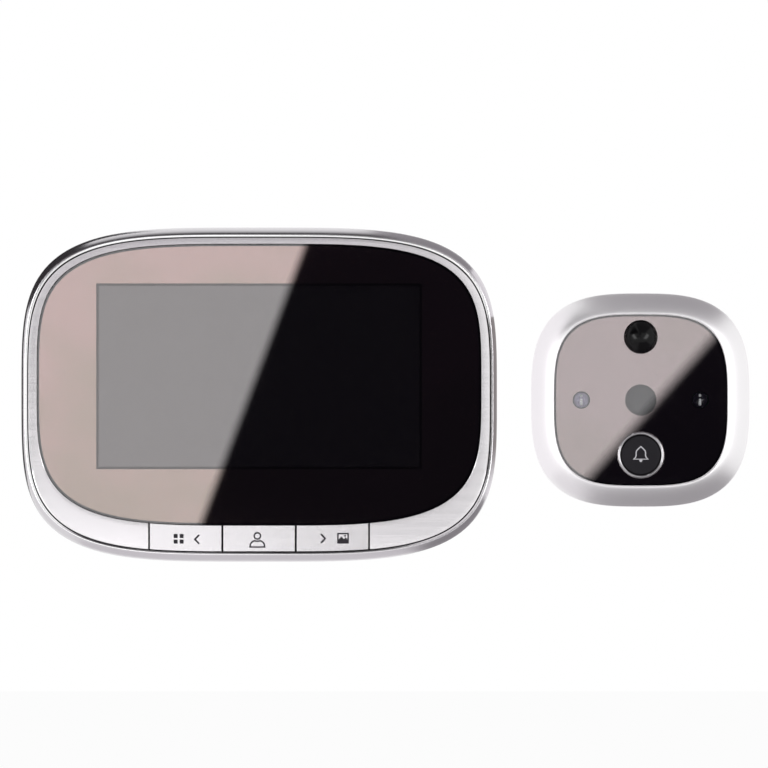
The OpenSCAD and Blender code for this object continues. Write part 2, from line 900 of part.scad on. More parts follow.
// Case screws, sunk into the back of the rear cover
module case_screws() {
    head_z = door_gap + screw_sink;
    color("#8f9094") indoor()
        for (p = screw_spots) {
            rod(p, screw_head_r, head_z, head_z + screw_head_h);
            rod(p, screw_r, head_z + screw_head_h / 2, screw_end_z);
        }
}

// Bent sheet bracket: slotted for two door screws, with four hooks lanced out of the sheet
module door_slot(x) {
    r = door_slot_w / 2;
    straight = door_slot_l - door_slot_w;
    for (side = [-1, 1]) rod([x + side * straight / 2, 0], r, -over, bracket_t + over);
    block([x, 0, -over], [straight, door_slot_w - slot_ease, bracket_t + 2 * over]);
}

module door_bracket() {
    color("#a9adb3") indoor() union() {
        difference() {
            linear_extrude(bracket_t) polygon(rounded(bracket_w, bracket_h, bracket_corner));
            rod([0, 0], cable_hole_r, -over, bracket_t + over);
            for (p = insert_spots) door_slot(p.x);
            for (sx = [-1, 1])
                for (sy = [-1, 1])
                    block(
                        [sx * hook_pitch_x / 2, hook_shelf_y(sy) + hook_window_h / 2, -over],
                        [hook_w + slide_play, hook_window_h, bracket_t + 2 * over]
                    );
        }
        for (sx = [-1, 1])
            for (sy = [-1, 1]) {
                shelf_y = hook_shelf_y(sy);
                x = sx * hook_pitch_x / 2;
                block(
                    [x, shelf_y - bracket_t / 2, bracket_t / 2],
                    [hook_w, bracket_t, hook_z - bracket_t / 2]
                );
                block(
                    [x, shelf_y + hook_tip / 2 - bracket_t / 2, hook_z - hook_t],
                    [hook_w, hook_tip + bracket_t, hook_t]
                );
            }
    }
}

// Ring of the outdoor rim: 0 is the outline at the door, 1 the edge of the panel's hole
function cheek_ring(f, z, d = 0) = [
    lerp(camera_o[0], hole_o[0], f) - d,
    lerp(camera_o[1], hole_o[1], f) - d,
    lerp(camera_n, panel_n, f),
    z
];
cheek_in = 1 - lip_in / cheek_x;
cheek_outside = concat(
    [cheek_ring(0, gasket_t, 0.4), cheek_ring(0, gasket_t + 0.8)],
    [
        for (i = [0:cheek_steps])
            let (t = cheek_sweep * i / cheek_steps)
                cheek_ring(
                    cheek_in * (1 - cos(t)) / (1 - cos(cheek_sweep)),
                    lerp(cheek_foot, cheek_top_z, sin(t) / sin(cheek_sweep))
                )
    ],
    [cheek_ring(1, cheek_top_z - lip_fall, 0.05)]
);
cheek_inside = [
    cheek_ring(0, gasket_t - over, cheek_wall),
    cheek_ring(0, cheek_foot, cheek_wall),
    cheek_ring(0.18, lerp(cheek_foot, ledge_z, 0.6), cheek_wall),
    cheek_ring(0.45, ledge_z, cheek_wall)
];

// Rim of the outdoor unit: a domed casting with a ledge for the panel and four screw bosses
module camera_rim() {
    color("#c9c8cc") outdoor() difference() {
        loft(cheek_outside);
        difference() {
            loft(cheek_inside);
            for (p = back_spots) rod(p, back_post_r, camera_board_z, camera_d);
        }
        slab(ledge_o, ledge_z - over, camera_d);
        slab(hole_o, camera_seat_z, camera_d + 2 * over);
        for (p = back_spots)
            rod(p, camera_screw_r + seat_play, camera_board_z - over, ledge_z + screw_play);
    }
}

// Holes of the panel and its film at the dome and the bell button
module panel_holes(z0, z1) {
    rod([0, pir_y], pir_r + screw_play, z0, z1);
    rod([0, bell_y], bell_hole_r, z0, z1);
}

module camera_panel() {
    color("#6f6669", 0.6) outdoor() difference() {
        slab(panel_o, camera_d - camera_panel_t, camera_d);
        panel_holes(camera_d - camera_panel_t - over, camera_d + over);
    }
}

module panel_film() {
    color("#b0a5a6") outdoor() difference() {
        slab(panel_o, camera_seat_z, camera_d - camera_panel_t);
        panel_holes(camera_seat_z - over, camera_d);
        rod([0, 0], lens_window_r, camera_seat_z - over, camera_d);
        for (side = [-1, 1]) rod([side * led_x, 0], led_r + seat_play, camera_seat_z - over, camera_d);
    }
}

// Hollow dome of the motion sensor, held by its flange behind the panel
module pir_lens() {
    shell = pir_r - pir_wall;
    dome_r = (pir_r * pir_r + pir_h * pir_h) / (2 * pir_h);
    dome_angle = asin(pir_r / dome_r);
    middle_z = camera_d + pir_h - dome_r;
    foot_z = camera_seat_z - pir_flange[1];
    inner_r = dome_r - pir_wall;
    inner_angle = asin(shell / inner_r);
    color("#0d0c10") outdoor() translate([0, pir_y, 0]) rotate_extrude()
        polygon(concat(
            [[shell, foot_z], [pir_r + pir_flange[0], foot_z], [pir_r + pir_flange[0], camera_seat_z]],
            [[pir_r, camera_seat_z]],
            arc(0, middle_z, dome_r, 90 - dome_angle, 90, arc_n),
            arc(0, middle_z, inner_r, 90, 90 - inner_angle, arc_n)
        ));
}

module pir_sensor() {
    r = pir_r - pir_wall - screw_play;
    color("#b5b29f") outdoor()
        rod([0, pir_y], r, camera_board_z, camera_board_z + pir_sensor_h);
}

module lens_holder() {
    color("#1b1b1d") outdoor() difference() {
        block([0, 0, camera_board_z], [holder_w, holder_w, holder_h]);
        rod([0, 0], barrel_r + seat_play, camera_board_z - over, camera_board_z + holder_h + over);
    }
}

// Smoked window in the film's opening, bonded to the back of the panel before the lens
module lens_window() {
    top_z = camera_d - camera_panel_t;
    color("#6f6e75", 0.9) outdoor()
        rod([0, 0], lens_window_r - seat_play, top_z - lens_window_t, top_z);
}

// Lens barrel with a coned mouth and a step that seats the lens
lens_sink = 2;
lens_step = 0.5;
barrel_top_z = camera_d - camera_panel_t - lens_window_t - lens_window_gap;

module lens_barrel() {
    mouth = [0.7, 0.6];
    foot_z = camera_board_z + sensor_size.z + slide_play;
    color("#222226") outdoor() rotate_extrude()
        polygon([
            [lens_r - lens_step, foot_z], [barrel_r, foot_z], [barrel_r, barrel_top_z],
            [lens_r + mouth[0], barrel_top_z], [lens_r, barrel_top_z - mouth[1]],
            [lens_r, barrel_top_z - lens_sink], [lens_r - lens_step, barrel_top_z - lens_sink]
        ]);
}

module lens_glass() {
    foot_z = barrel_top_z - lens_sink;
    r = lens_r - seat_play;
    edge = 0.5;
    bulge = 0.7;
    sphere_r = (r * r + bulge * bulge) / (2 * bulge);
    sweep = asin(r / sphere_r);
    color("#30363f", 0.7) outdoor() rotate_extrude()
        polygon(concat(
            [[0, foot_z], [r, foot_z]],
            arc(0, foot_z + edge + bulge - sphere_r, sphere_r, 90 - sweep, 90, arc_n)
        ));
}

module image_sensor() {
    color("#3a4250") outdoor() block([0, 0, camera_board_z], sensor_size);
}

// Night lights: flanged bodies with round tops, close behind the panel
module night_leds() {
    top_z = camera_seat_z - led_gap;
    color("#c9ccd2", 0.8) outdoor()
        for (side = [-1, 1])
            translate([side * led_x, 0, 0]) rotate_extrude()
                polygon(concat(
                    [[0, camera_board_z], [led_r + led_flange[0], camera_board_z]],
                    [[led_r + led_flange[0], camera_board_z + led_flange[1]]],
                    [[led_r, camera_board_z + led_flange[1]]],
                    arc(0, top_z - led_r, led_r, 0, 90, arc_n)
                ));
}

// Polished ring: a neck through the panel and a rounded bead on its face
module bell_ring() {
    bead = ring_h / 2;
    lead_in = 0.2;
    color("#dfe0e4") outdoor() translate([0, bell_y, 0]) rotate_extrude()
        polygon(concat(
            [[bell_bore_r, ring_bottom_z], [bell_neck_r, ring_bottom_z], [bell_neck_r, camera_d]],
            [[bell_ring_r, camera_d]],
            arc(bell_ring_r - bead, camera_d + bead, bead, 0, 90, arc_n),
            [[bell_bore_r + lead_in, camera_d + ring_h], [bell_bore_r, camera_d + ring_h - lead_in]]
        ));
}

module bell_switch() {
    color("#2a2a2c") outdoor()
        switch_base(
            [0, bell_y, camera_board_z],
            bell_switch_size,
            bell_stem_r + screw_play,
            bell_switch_floor
        );
}

// Bell button: dished cap, flange behind the ring and a post on the switch
module bell_button() {
    face_z = camera_d + ring_h - bell_sink;
    edge = 0.3;
    dish = 0.2;
    color("#2b282e") outdoor() translate([0, bell_y, 0]) rotate_extrude()
        polygon([
            [0, bell_stem_top_z], [bell_post_r, bell_stem_top_z], [bell_post_r, bell_flange_z],
            [bell_neck_r, bell_flange_z], [bell_neck_r, bell_flange_z + bell_flange_t],
            [bell_r, bell_flange_z + bell_flange_t], [bell_r, face_z - edge],
            [bell_r - edge, face_z], [bell_r * 0.6, face_z - dish * 0.6], [0, face_z - dish]
        ]);
}

module bell_stem() {
    foot_z = camera_board_z + bell_switch_size.z - bell_stem_in;
    color("#303033") outdoor() rod([0, bell_y], bell_stem_r, foot_z, bell_stem_top_z);
}

module camera_board() {
    color("#1f5a36") outdoor() difference() {
        slab(camera_board_o, camera_board_back_z, camera_board_z);
        for (p = back_spots)
            rod(p, camera_screw_r + screw_play, camera_board_back_z - over, camera_board_z + over);
    }
}

module board_header() {
    size = [8, 4, 2.2];
    middle_y = -10;
    color("#e9e6da") outdoor() block([0, middle_y, camera_board_back_z - size.z], size);
}

// Back plate: posts for the board, blind posts for the inserts, and the cable outlet
module camera_back_plate() {
    insert_hole_r = insert_r + insert_wall + seat_play;
    color("#1d1d20") outdoor() difference() {
        union() {
            slab(back_plate_o, gasket_t, back_plate_z);
            for (p = back_spots) rod(p, back_post_r, back_plate_z - over, camera_board_back_z);
            for (p = insert_spots)
                rod(p, insert_post_r, back_plate_z - over, gasket_t + insert_l + insert_cap);
        }
        rod([0, 0], grommet_r + seat_play, gasket_t - over, back_plate_z + over);
        for (p = insert_spots)
            rod(p, insert_hole_r, gasket_t - over, gasket_t + insert_l + seat_play);
        for (p = back_spots) {
            rod(p, camera_screw_r + seat_play, gasket_t - over, camera_board_back_z + over);
            rod(p, camera_head_r + screw_play, gasket_t - over, gasket_t + camera_head_h + screw_play);
        }
    }
}

module cable_grommet() {
    flange = [1.2, 0.8];
    color("#19191b") outdoor() rotate_extrude()
        polygon([
            [outlet_r, gasket_t], [grommet_r, gasket_t], [grommet_r, back_plate_z],
            [grommet_r + flange[0], back_plate_z], [grommet_r + flange[0], back_plate_z + flange[1]],
            [outlet_r, back_plate_z + flange[1]]
        ]);
}

module threaded_inserts() {
    color("#c7a14a") outdoor()
        for (p = insert_spots)
            difference() {
                rod(p, insert_r + insert_wall, gasket_t, gasket_t + insert_l);
                rod(p, insert_r, gasket_t - over, gasket_t + insert_l + over);
            }
}

module camera_screws() {
    head_z = gasket_t + screw_play;
    color("#8f9094") outdoor()
        for (p = back_spots) {
            rod(p, camera_head_r, head_z, head_z + camera_head_h);
            rod(p, camera_screw_r, head_z + camera_head_h / 2, ledge_z - screw_play);
        }
}

module door_gasket() {
    color("#33333a") outdoor() difference() {
        slab(gasket_o, 0, gasket_t);
        rod([0, 0], grommet_r + gasket_hole, -over, gasket_t + over);
        for (p = insert_spots)
            rod(p, insert_r + insert_wall + gasket_hole, -over, gasket_t + over);
    }
}

rear_cover();
mid_housing();
front_bezel();
front_glass();
mirror_film();
lcd_panel();
lcd_backlight();
lcd_frame();
main_board();
key_switches();
cable_socket();
usb_socket();
card_socket();
power_switch_body();
battery_pack();
speaker();
case_screws();
key_menu();
key_menu_stem();
key_view();
key_view_stem();
key_gallery();
key_gallery_stem();
power_knob();
door_bracket();
camera_rim();
camera_panel();
panel_film();
pir_lens();
pir_sensor();
lens_window();
lens_holder();
lens_barrel();
lens_glass();
image_sensor();
night_leds();
bell_ring();
bell_switch();
camera_board();
board_header();
camera_back_plate();
cable_grommet();
threaded_inserts();
camera_screws();
door_gasket();
bell_button();
bell_stem();
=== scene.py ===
"""Looks of a door viewer: the indoor screen unit and the outdoor camera unit beside it.

Depths are counted in millimetres from the door towards the viewer, as in the part's source.
"""

import math

import bmesh
import bpy
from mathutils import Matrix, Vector


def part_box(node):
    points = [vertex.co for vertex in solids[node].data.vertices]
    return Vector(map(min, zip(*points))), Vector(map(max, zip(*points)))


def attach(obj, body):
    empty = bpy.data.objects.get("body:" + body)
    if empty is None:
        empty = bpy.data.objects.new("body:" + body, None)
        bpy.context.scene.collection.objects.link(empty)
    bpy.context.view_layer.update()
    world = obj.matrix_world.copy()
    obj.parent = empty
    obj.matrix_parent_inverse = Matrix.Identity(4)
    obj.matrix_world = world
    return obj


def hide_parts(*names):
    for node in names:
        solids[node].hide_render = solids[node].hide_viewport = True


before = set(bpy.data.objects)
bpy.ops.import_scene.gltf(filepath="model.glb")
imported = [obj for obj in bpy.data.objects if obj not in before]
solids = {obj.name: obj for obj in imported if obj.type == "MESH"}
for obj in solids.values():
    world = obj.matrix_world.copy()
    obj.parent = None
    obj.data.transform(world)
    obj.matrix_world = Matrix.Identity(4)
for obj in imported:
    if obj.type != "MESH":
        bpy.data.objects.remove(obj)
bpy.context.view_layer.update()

MM = 0.001
INDOOR = (0.0, 0.0)
OUTDOOR = (112.4, -1.6)


# ---------------------------------------------------------------- shader maths


class Signal:
    """A socket of a node tree: sums and products of signals add their Math nodes."""

    def __init__(self, tree, socket):
        self.tree, self.socket = tree, socket

    def math(self, operation, *values):
        return self.tree.node("ShaderNodeMath", {"operation": operation}, dict(enumerate(values)))

    def __add__(self, other):
        return self.math("ADD", self, other)

    def __sub__(self, other):
        return self.math("SUBTRACT", self, other)

    def __rsub__(self, other):
        return self.math("SUBTRACT", other, self)

    def __mul__(self, other):
        return self.math("MULTIPLY", self, other)

    def __truediv__(self, other):
        return self.math("DIVIDE", self, other)

    def __pow__(self, other):
        return self.math("POWER", self, other)

    def __abs__(self):
        return self.math("ABSOLUTE", self)

    __radd__ = __add__
    __rmul__ = __mul__

    def larger(self, other):
        return self.math("MAXIMUM", self, other)

    def over(self, edge):
        return self.math("GREATER_THAN", self, edge)

    def under(self, edge):
        return self.math("LESS_THAN", self, edge)

    def fade(self, start, end):
        """0 up to start, 1 from end, and smooth between."""
        return self.tree.node(
            "ShaderNodeMapRange",
            {"interpolation_type": "SMOOTHSTEP"},
            {"Value": self, "From Min": start, "From Max": end},
        )

    def other(self, output):
        """Another output of the same node."""
        return Signal(self.tree, self.socket.node.outputs[output])


class Tree:
    """The nodes of a material or of the world."""

    def __init__(self, nodes):
        self.nodes = nodes
        nodes.nodes.clear()

    def node(self, kind, settings=None, sockets=None, output=0):
        made = self.nodes.nodes.new(kind)
        for name, value in (settings or {}).items():
            setattr(made, name, value)
        for key, value in (sockets or {}).items():
            if isinstance(value, Signal):
                self.nodes.links.new(value.socket, made.inputs[key])
            else:
                made.inputs[key].default_value = value
        return Signal(self, made.outputs[output]) if made.outputs else None

    def place(self):
        """Where a point of the piece is at rest, in millimetres."""
        metres = self.node("ShaderNodeTexCoord", output="Object")
        return self.node(
            "ShaderNodeVectorMath", {"operation": "SCALE"}, {0: metres, "Scale": 1 / MM}
        )

    def stretched(self, vector, factors):
        return self.node("ShaderNodeVectorMath", {"operation": "MULTIPLY"}, {0: vector, 1: factors})

    def axes(self, vector):
        x = self.node("ShaderNodeSeparateXYZ", sockets={0: vector})
        return x, x.other(1), x.other(2)

    def noise(self, vector, scale, detail=2.0):
        return self.node(
            "ShaderNodeTexNoise", sockets={"Vector": vector, "Scale": scale, "Detail": detail}
        )

    def blend(self, share, first, second):
        return self.node(
            "ShaderNodeMix",
            {"data_type": "RGBA"},
            {0: share, 6: colour(first), 7: colour(second)},
            output=2,
        )

    def relief(self, height, depth):
        """A bump of the given depth in millimetres."""
        return self.node(
            "ShaderNodeBump", sockets={"Height": height, "Distance": depth * MM, "Strength": 1.0}
        )

    def end(self, shader, kind="ShaderNodeOutputMaterial"):
        self.node(kind, sockets={"Surface": shader})


def colour(value):
    """A colour with its fourth number, or a signal as it is."""
    return value if isinstance(value, Signal) or len(value) == 4 else (*value, 1.0)


def finish(name, paint):
    """A material whose nodes are laid out by paint, which gives the sockets of the surface."""
    material = bpy.data.materials.new(name)
    material.use_nodes = True
    tree = Tree(material.node_tree)
    tree.end(tree.node("ShaderNodeBsdfPrincipled", sockets=paint(tree)))
    return material


# ---------------------------------------------------------------- finishes


def from_middle(across, up):
    """Distance from a point, as a signal."""
    return (across * across + up * up) ** 0.5


def satin_metal(light, dark, rough, spread):
    """Blasted, plated metal: a fine dull sparkle and slightly uneven gloss."""

    def paint(t):
        place = t.place()
        grain = t.noise(place, 7.0, 3.0)
        clouds = t.noise(place, 0.09)
        return {
            "Base Color": t.blend(grain * 0.6 + clouds * 0.4, dark, light),
            "Metallic": 1.0,
            "Roughness": rough + spread * (grain - 0.5) + 0.5 * spread * (clouds - 0.5),
            "Normal": t.relief(grain, 0.004),
        }

    return paint


def brushed_metal(light, dark, rough, lines=(0.035, 5.0, 5.0)):
    """Sheet brushed along its length, with long fine lines of uneven gloss."""

    def paint(t):
        place = t.place()
        fine = t.noise(t.stretched(place, lines), 1.0, 4.0)
        broad = t.noise(t.stretched(place, (0.012, 0.5, 0.5)), 1.0)
        streak = fine * 0.65 + broad * 0.35
        return {
            "Base Color": t.blend(streak.fade(0.3, 0.7), dark, light),
            "Metallic": 1.0,
            "Roughness": rough + 0.12 * (streak - 0.5),
            "Normal": t.relief(fine, 0.003),
        }

    return paint


def polished_metal(tone, rough):
    """Bright plating with faint wipe marks."""

    def paint(t):
        place = t.place()
        wipes = t.noise(t.stretched(place, (0.5, 0.5, 1.6)), 0.8, 3.0)
        return {
            "Base Color": t.blend(wipes, tuple(0.94 * c for c in tone), tone),
            "Metallic": 1.0,
            "Roughness": rough * (0.7 + 0.6 * wipes),
        }

    return paint


def moulded(tone, rough, grain_mm=0.35, depth=0.02, gloss=0.5, warp=0.16):
    """Moulded plastic or rubber with a spark-eroded skin."""

    def paint(t):
        place = t.place()
        skin = t.noise(place, 1 / grain_mm, 3.0)
        clouds = t.noise(place, 0.12)
        lifted = tuple(c * (1 + warp) + 0.002 for c in tone)
        return {
            "Base Color": t.blend(clouds * 0.7 + skin * 0.3, tone, lifted),
            "Roughness": rough + 0.14 * (skin - 0.5),
            "Specular IOR Level": gloss,
            "Normal": t.relief(skin, depth),
        }

    return paint


def cover_pane(share):
    """Thin clear glass: what it reflects is laid over what lies behind it."""

    def paint(t):
        smear = t.noise(t.stretched(t.place(), (0.02, 0.02, 0.05)), 1.0, 3.0)
        return {
            "Base Color": (1.0, 0.99, 1.0, 1.0),
            "Metallic": 1.0,
            "Roughness": 0.006 + 0.008 * smear,
            "Alpha": share,
        }

    return paint


def half_mirror(light, dark, half_w, half_h, squareness, middle, gap_shade_w=0.55):
    """Half-mirror film with its slight rose and straw clouds, lighter towards the top as painted
    reflection, and a black band of painted shade along its edge.
    """

    def paint(t):
        place = t.place()
        x, _, z = t.axes(place)
        clouds = t.noise(t.stretched(place, (0.03, 0.03, 0.045)), 1.0, 2.0)
        across = (abs(x - middle[0]) / (half_w - gap_shade_w)) ** squareness
        up = (abs(z - middle[1]) / (half_h - gap_shade_w)) ** squareness
        # Painted shade: a black band along the edge stands in for the dark gap round the pane.
        outside_gap_shade = 1 - (across + up).over(1.0)
        # Painted reflection: the film grows lighter towards the top, laid over its random clouds.
        tint_and_painted_sheen = t.blend((clouds + 0.0035 * (z - middle[1])).fade(0.3, 0.7), dark, light)
        return {
            "Base Color": t.blend(outside_gap_shade, (0.008, 0.007, 0.008), tint_and_painted_sheen),
            "Metallic": 1.0,
            "Roughness": 0.008 + 0.008 * clouds,
        }

    return paint


CELL_PITCH = 0.198


def display_face(half_w, half_h, rise):
    """Switched-off display: dark mirror with its fine cells and a black frame line."""

    def paint(t):
        place = t.place()
        x, _, z = t.axes(place)
        off_edge = (abs(x) - half_w).larger(abs(z - rise) - half_h)
        cells = t.node(
            "ShaderNodeTexBrick",
            {"offset": 0.0},
            {
                "Vector": t.stretched(place, (1.0, 0.0, 1.0)),
                "Color1": (1.0, 1.0, 1.0, 1.0),
                "Color2": (0.97, 0.97, 0.97, 1.0),
                "Mortar": (0.9, 0.9, 0.9, 1.0),
                "Scale": 1.0,
                "Mortar Size": 0.02,
                "Brick Width": CELL_PITCH,
                "Row Height": CELL_PITCH,
            },
        )
        lit = t.node(
            "ShaderNodeMix",
            {"data_type": "RGBA", "blend_type": "MULTIPLY"},
            {0: 1.0, 6: (0.196, 0.178, 0.18, 1.0), 7: cells},
            output=2,
        )
        return {
            "Base Color": t.blend(off_edge.fade(-0.45, -0.25), lit, (0.045, 0.035, 0.035)),
            "Metallic": 0.985,
            "Roughness": 0.012,
        }

    return paint


def gloss_black(tone, gloss, rough, coat=0.0):
    """Polished dark plastic with the faintest flow marks."""

    def paint(t):
        flow = t.noise(t.place(), 0.7, 3.0)
        return {
            "Base Color": t.blend(flow, tone, tuple(c * 1.25 for c in tone)),
            "Roughness": rough + 0.03 * flow,
            "Specular IOR Level": gloss,
            "Coat Weight": coat,
            "Coat Roughness": 0.03,
        }

    return paint


def circuit_board(t):
    """Green lacquer over copper tracks, with bare pads."""
    place = t.stretched(t.place(), (1.0, 0.0, 1.0))
    cells = t.node(
        "ShaderNodeTexVoronoi",
        {"feature": "DISTANCE_TO_EDGE"},
        {"Vector": place, "Scale": 0.4, "Randomness": 0.7},
    )
    tracks = 1 - cells.fade(0.05, 0.09)
    spots = t.node("ShaderNodeTexVoronoi", {}, {"Vector": place, "Scale": 0.22})
    pads = 1 - spots.fade(0.09, 0.11)
    green = t.blend(tracks, (0.008, 0.07, 0.03), (0.02, 0.16, 0.06))
    return {
        "Base Color": t.blend(pads, green, (0.75, 0.66, 0.45)),
        "Metallic": pads,
        "Roughness": 0.38 - 0.1 * pads + 0.05 * tracks,
        "Normal": t.relief(tracks + pads, 0.03),
    }


def gasket_foam(t):
    """Closed-cell foam: small round pits in a dull skin, with painted shade darkening the pits."""
    place = t.place()
    pits = t.node("ShaderNodeTexVoronoi", {}, {"Vector": place, "Scale": 2.4})
    hollow = pits.fade(0.05, 0.5)
    # Painted shade: the pits are given a darker colour than the skin round them.
    return {
        "Base Color": t.blend(hollow, (0.018, 0.018, 0.02), (0.045, 0.045, 0.048)),
        "Roughness": 0.85 + 0.1 * hollow,
        "Specular IOR Level": 0.25,
        "Normal": t.relief(hollow, 0.12),
    }


def sensor_chip(t):
    """Image sensor: a dark iridescent square in a grey carrier."""
    place = t.place()
    x, _, z = t.axes(place)
    off = abs(x - OUTDOOR[0]).larger(abs(z - OUTDOOR[1]))
    rows = t.noise(t.stretched(place, (0.4, 0.4, 9.0)), 1.0)
    face = t.blend(rows, (0.05, 0.03, 0.09), (0.02, 0.07, 0.08))
    inside = off.under(1.7)
    return {
        "Base Color": t.blend(inside, (0.22, 0.22, 0.23), face),
        "Metallic": inside * 0.8,
        "Roughness": 0.5 - 0.3 * inside,
    }


def battery_sleeve(t):
    """Shrink sleeve with soft wrinkles along the cell."""
    place = t.place()
    folds = t.noise(t.stretched(place, (0.7, 0.7, 0.12)), 1.0, 3.0)
    return {
        "Base Color": t.blend(folds, (0.03, 0.09, 0.22), (0.05, 0.14, 0.3)),
        "Roughness": 0.32 + 0.12 * folds,
        "Normal": t.relief(folds, 0.08),
    }


def light_guide(t):
    """White moulded light guide with its dot pattern."""
    place = t.place()
    dots = t.node("ShaderNodeTexVoronoi", {}, {"Vector": place, "Scale": 0.9, "Randomness": 0.0})
    spots = 1 - dots.fade(0.2, 0.3)
    return {
        "Base Color": t.blend(spots, (0.74, 0.75, 0.76), (0.86, 0.87, 0.88)),
        "Roughness": 0.4 + 0.1 * spots,
    }


def bell_cap_skin(t):
    """Satin black cap: fine matt skin, slightly worn and glossier towards the middle."""
    place = t.place()
    x, _, z = t.axes(place)
    worn = 1 - from_middle(x - OUTDOOR[0], z - (OUTDOOR[1] + BELL_Y)).fade(1.0, 5.5)
    skin = t.noise(place, 4.0, 3.0)
    return {
        "Base Color": t.blend(skin, (0.008, 0.007, 0.0095), (0.012, 0.0105, 0.0145)),
        "Roughness": 0.4 - 0.06 * worn + 0.08 * (skin - 0.5),
        "Specular IOR Level": 0.17,
        "Normal": t.relief(skin, 0.006),
    }


def led_cup_skin(t):
    """Reflector cup of a night light: dark polish, with painted shade darkening it round its edge.
    """
    x, _, z = t.axes(t.place())
    # Painted shade: the cup turns darker towards its edge.
    rim = from_middle(abs(x - OUTDOOR[0]) - LED_X, z - OUTDOOR[1]).fade(1.7, CUP_R)
    return {
        "Base Color": t.blend(rim, (0.188, 0.174, 0.24), (0.085, 0.08, 0.11)),
        "Metallic": 0.94,
        "Roughness": 0.015 + 0.02 * rim,
    }


def smoked_disc_skin(t):
    """Smoked window of the lens: a dim mirror, a little darker round its edge."""
    place = t.place()
    x, _, z = t.axes(place)
    edge = from_middle(x - OUTDOOR[0], z - OUTDOOR[1]).fade(2.4, 4.6)
    haze = t.noise(place, 0.4)
    return {
        "Base Color": t.blend(edge, (0.03, 0.029, 0.034), (0.006, 0.006, 0.008)),
        "Metallic": 1.0,
        "Roughness": 0.05 + 0.04 * haze,
    }


def printed(tone):
    """Pad-printed ink with a slightly uneven film."""

    def paint(t):
        film = t.noise(t.place(), 6.0, 3.0)
        return {
            "Base Color": t.blend(film, tone, tuple(c * 1.3 for c in tone)),
            "Roughness": 0.5 + 0.12 * film,
            "Specular IOR Level": 0.2,
        }

    return paint


# ---------------------------------------------------------------- mesh helpers


def spot(x, y, z, unit=INDOOR):
    """A point of a unit, seen from the front: right, up and out from the door."""
    return Vector(((x + unit[0]) * MM, -z * MM, (y + unit[1]) * MM))


QUARTER_POINTS = 60
FINE_STEPS = 1500


def outline(half_w, half_h, squareness, rise=0.0):
    """Evenly spaced points of a rounded-square outline."""
    bend = 2 / squareness
    fine = []
    for i in range(FINE_STEPS + 1):
        t = math.pi / 2 * i / FINE_STEPS
        fine.append((half_w * max(0.0, math.cos(t)) ** bend, half_h * math.sin(t) ** bend))
    run = [0.0]
    for p, q in zip(fine, fine[1:]):
        run.append(run[-1] + math.dist(p, q))
    corner, k = [], 0
    for i in range(QUARTER_POINTS + 1):
        want = run[-1] * i / QUARTER_POINTS
        while k < FINE_STEPS - 1 and run[k + 1] < want:
            k += 1
        share = (want - run[k]) / (run[k + 1] - run[k])
        p, q = fine[k], fine[k + 1]
        corner.append((p[0] + (q[0] - p[0]) * share, p[1] + (q[1] - p[1]) * share))
    back = corner[:0:-1]
    forth = corner[:-1]
    ring = forth + [(-x, y) for x, y in back]
    ring += [(-x, -y) for x, y in forth] + [(x, -y) for x, y in back]
    return [(x, y + rise) for x, y in ring]


def ring_loop(rings, unit):
    """Closed skin through rings of (outline, depth), the last joined to the first."""
    points = [spot(x, y, z, unit) for ring, z in rings for x, y in ring]
    n, total = len(rings[0][0]), len(rings)
    faces = [
        (k * n + i, k * n + (i + 1) % n, (k + 1) % total * n + (i + 1) % n, (k + 1) % total * n + i)
        for k in range(total)
        for i in range(n)
    ]
    return points, faces


def lathe(profile, centre, unit=OUTDOOR, turns=96):
    """Turns a closed profile of (radius, depth) about an axis that points at the viewer."""
    points, rows, faces = [], [], []
    for r, z in profile:
        if r < 1e-6:
            rows.append([len(points)] * turns)
            points.append(spot(*centre, z, unit))
            continue
        rows.append(range(len(points), len(points) + turns))
        for i in range(turns):
            t = 2 * math.pi * i / turns
            points.append(spot(centre[0] + r * math.cos(t), centre[1] + r * math.sin(t), z, unit))
    for a, b in zip(rows, rows[1:] + rows[:1]):
        for i in range(turns):
            j = (i + 1) % turns
            corners = list(dict.fromkeys((a[i], a[j], b[j], b[i])))
            if len(corners) > 2:
                faces.append(tuple(corners))
    return points, faces


def arc(cx, cy, r, start, end, steps):
    """Points on an arc, from one angle to another in degrees."""
    angles = [math.radians(start + (end - start) * i / steps) for i in range(steps + 1)]
    return [(cx + r * math.cos(a), cy + r * math.sin(a)) for a in angles]


def prism(points, z0, z1, unit=INDOOR):
    """Straight solid on a flat outline."""
    n = len(points)
    made = [spot(x, y, z, unit) for z in (z0, z1) for x, y in points]
    sides = [(i, (i + 1) % n, n + (i + 1) % n, n + i) for i in range(n)]
    return made, [tuple(range(n - 1, -1, -1)), tuple(range(n, 2 * n)), *sides]


def oblong(x, y, w, h):
    """Corners of a rectangle about its middle."""
    x0, x1, y0, y1 = x - w / 2, x + w / 2, y - h / 2, y + h / 2
    return [(x0, y0), (x1, y0), (x1, y1), (x0, y1)]


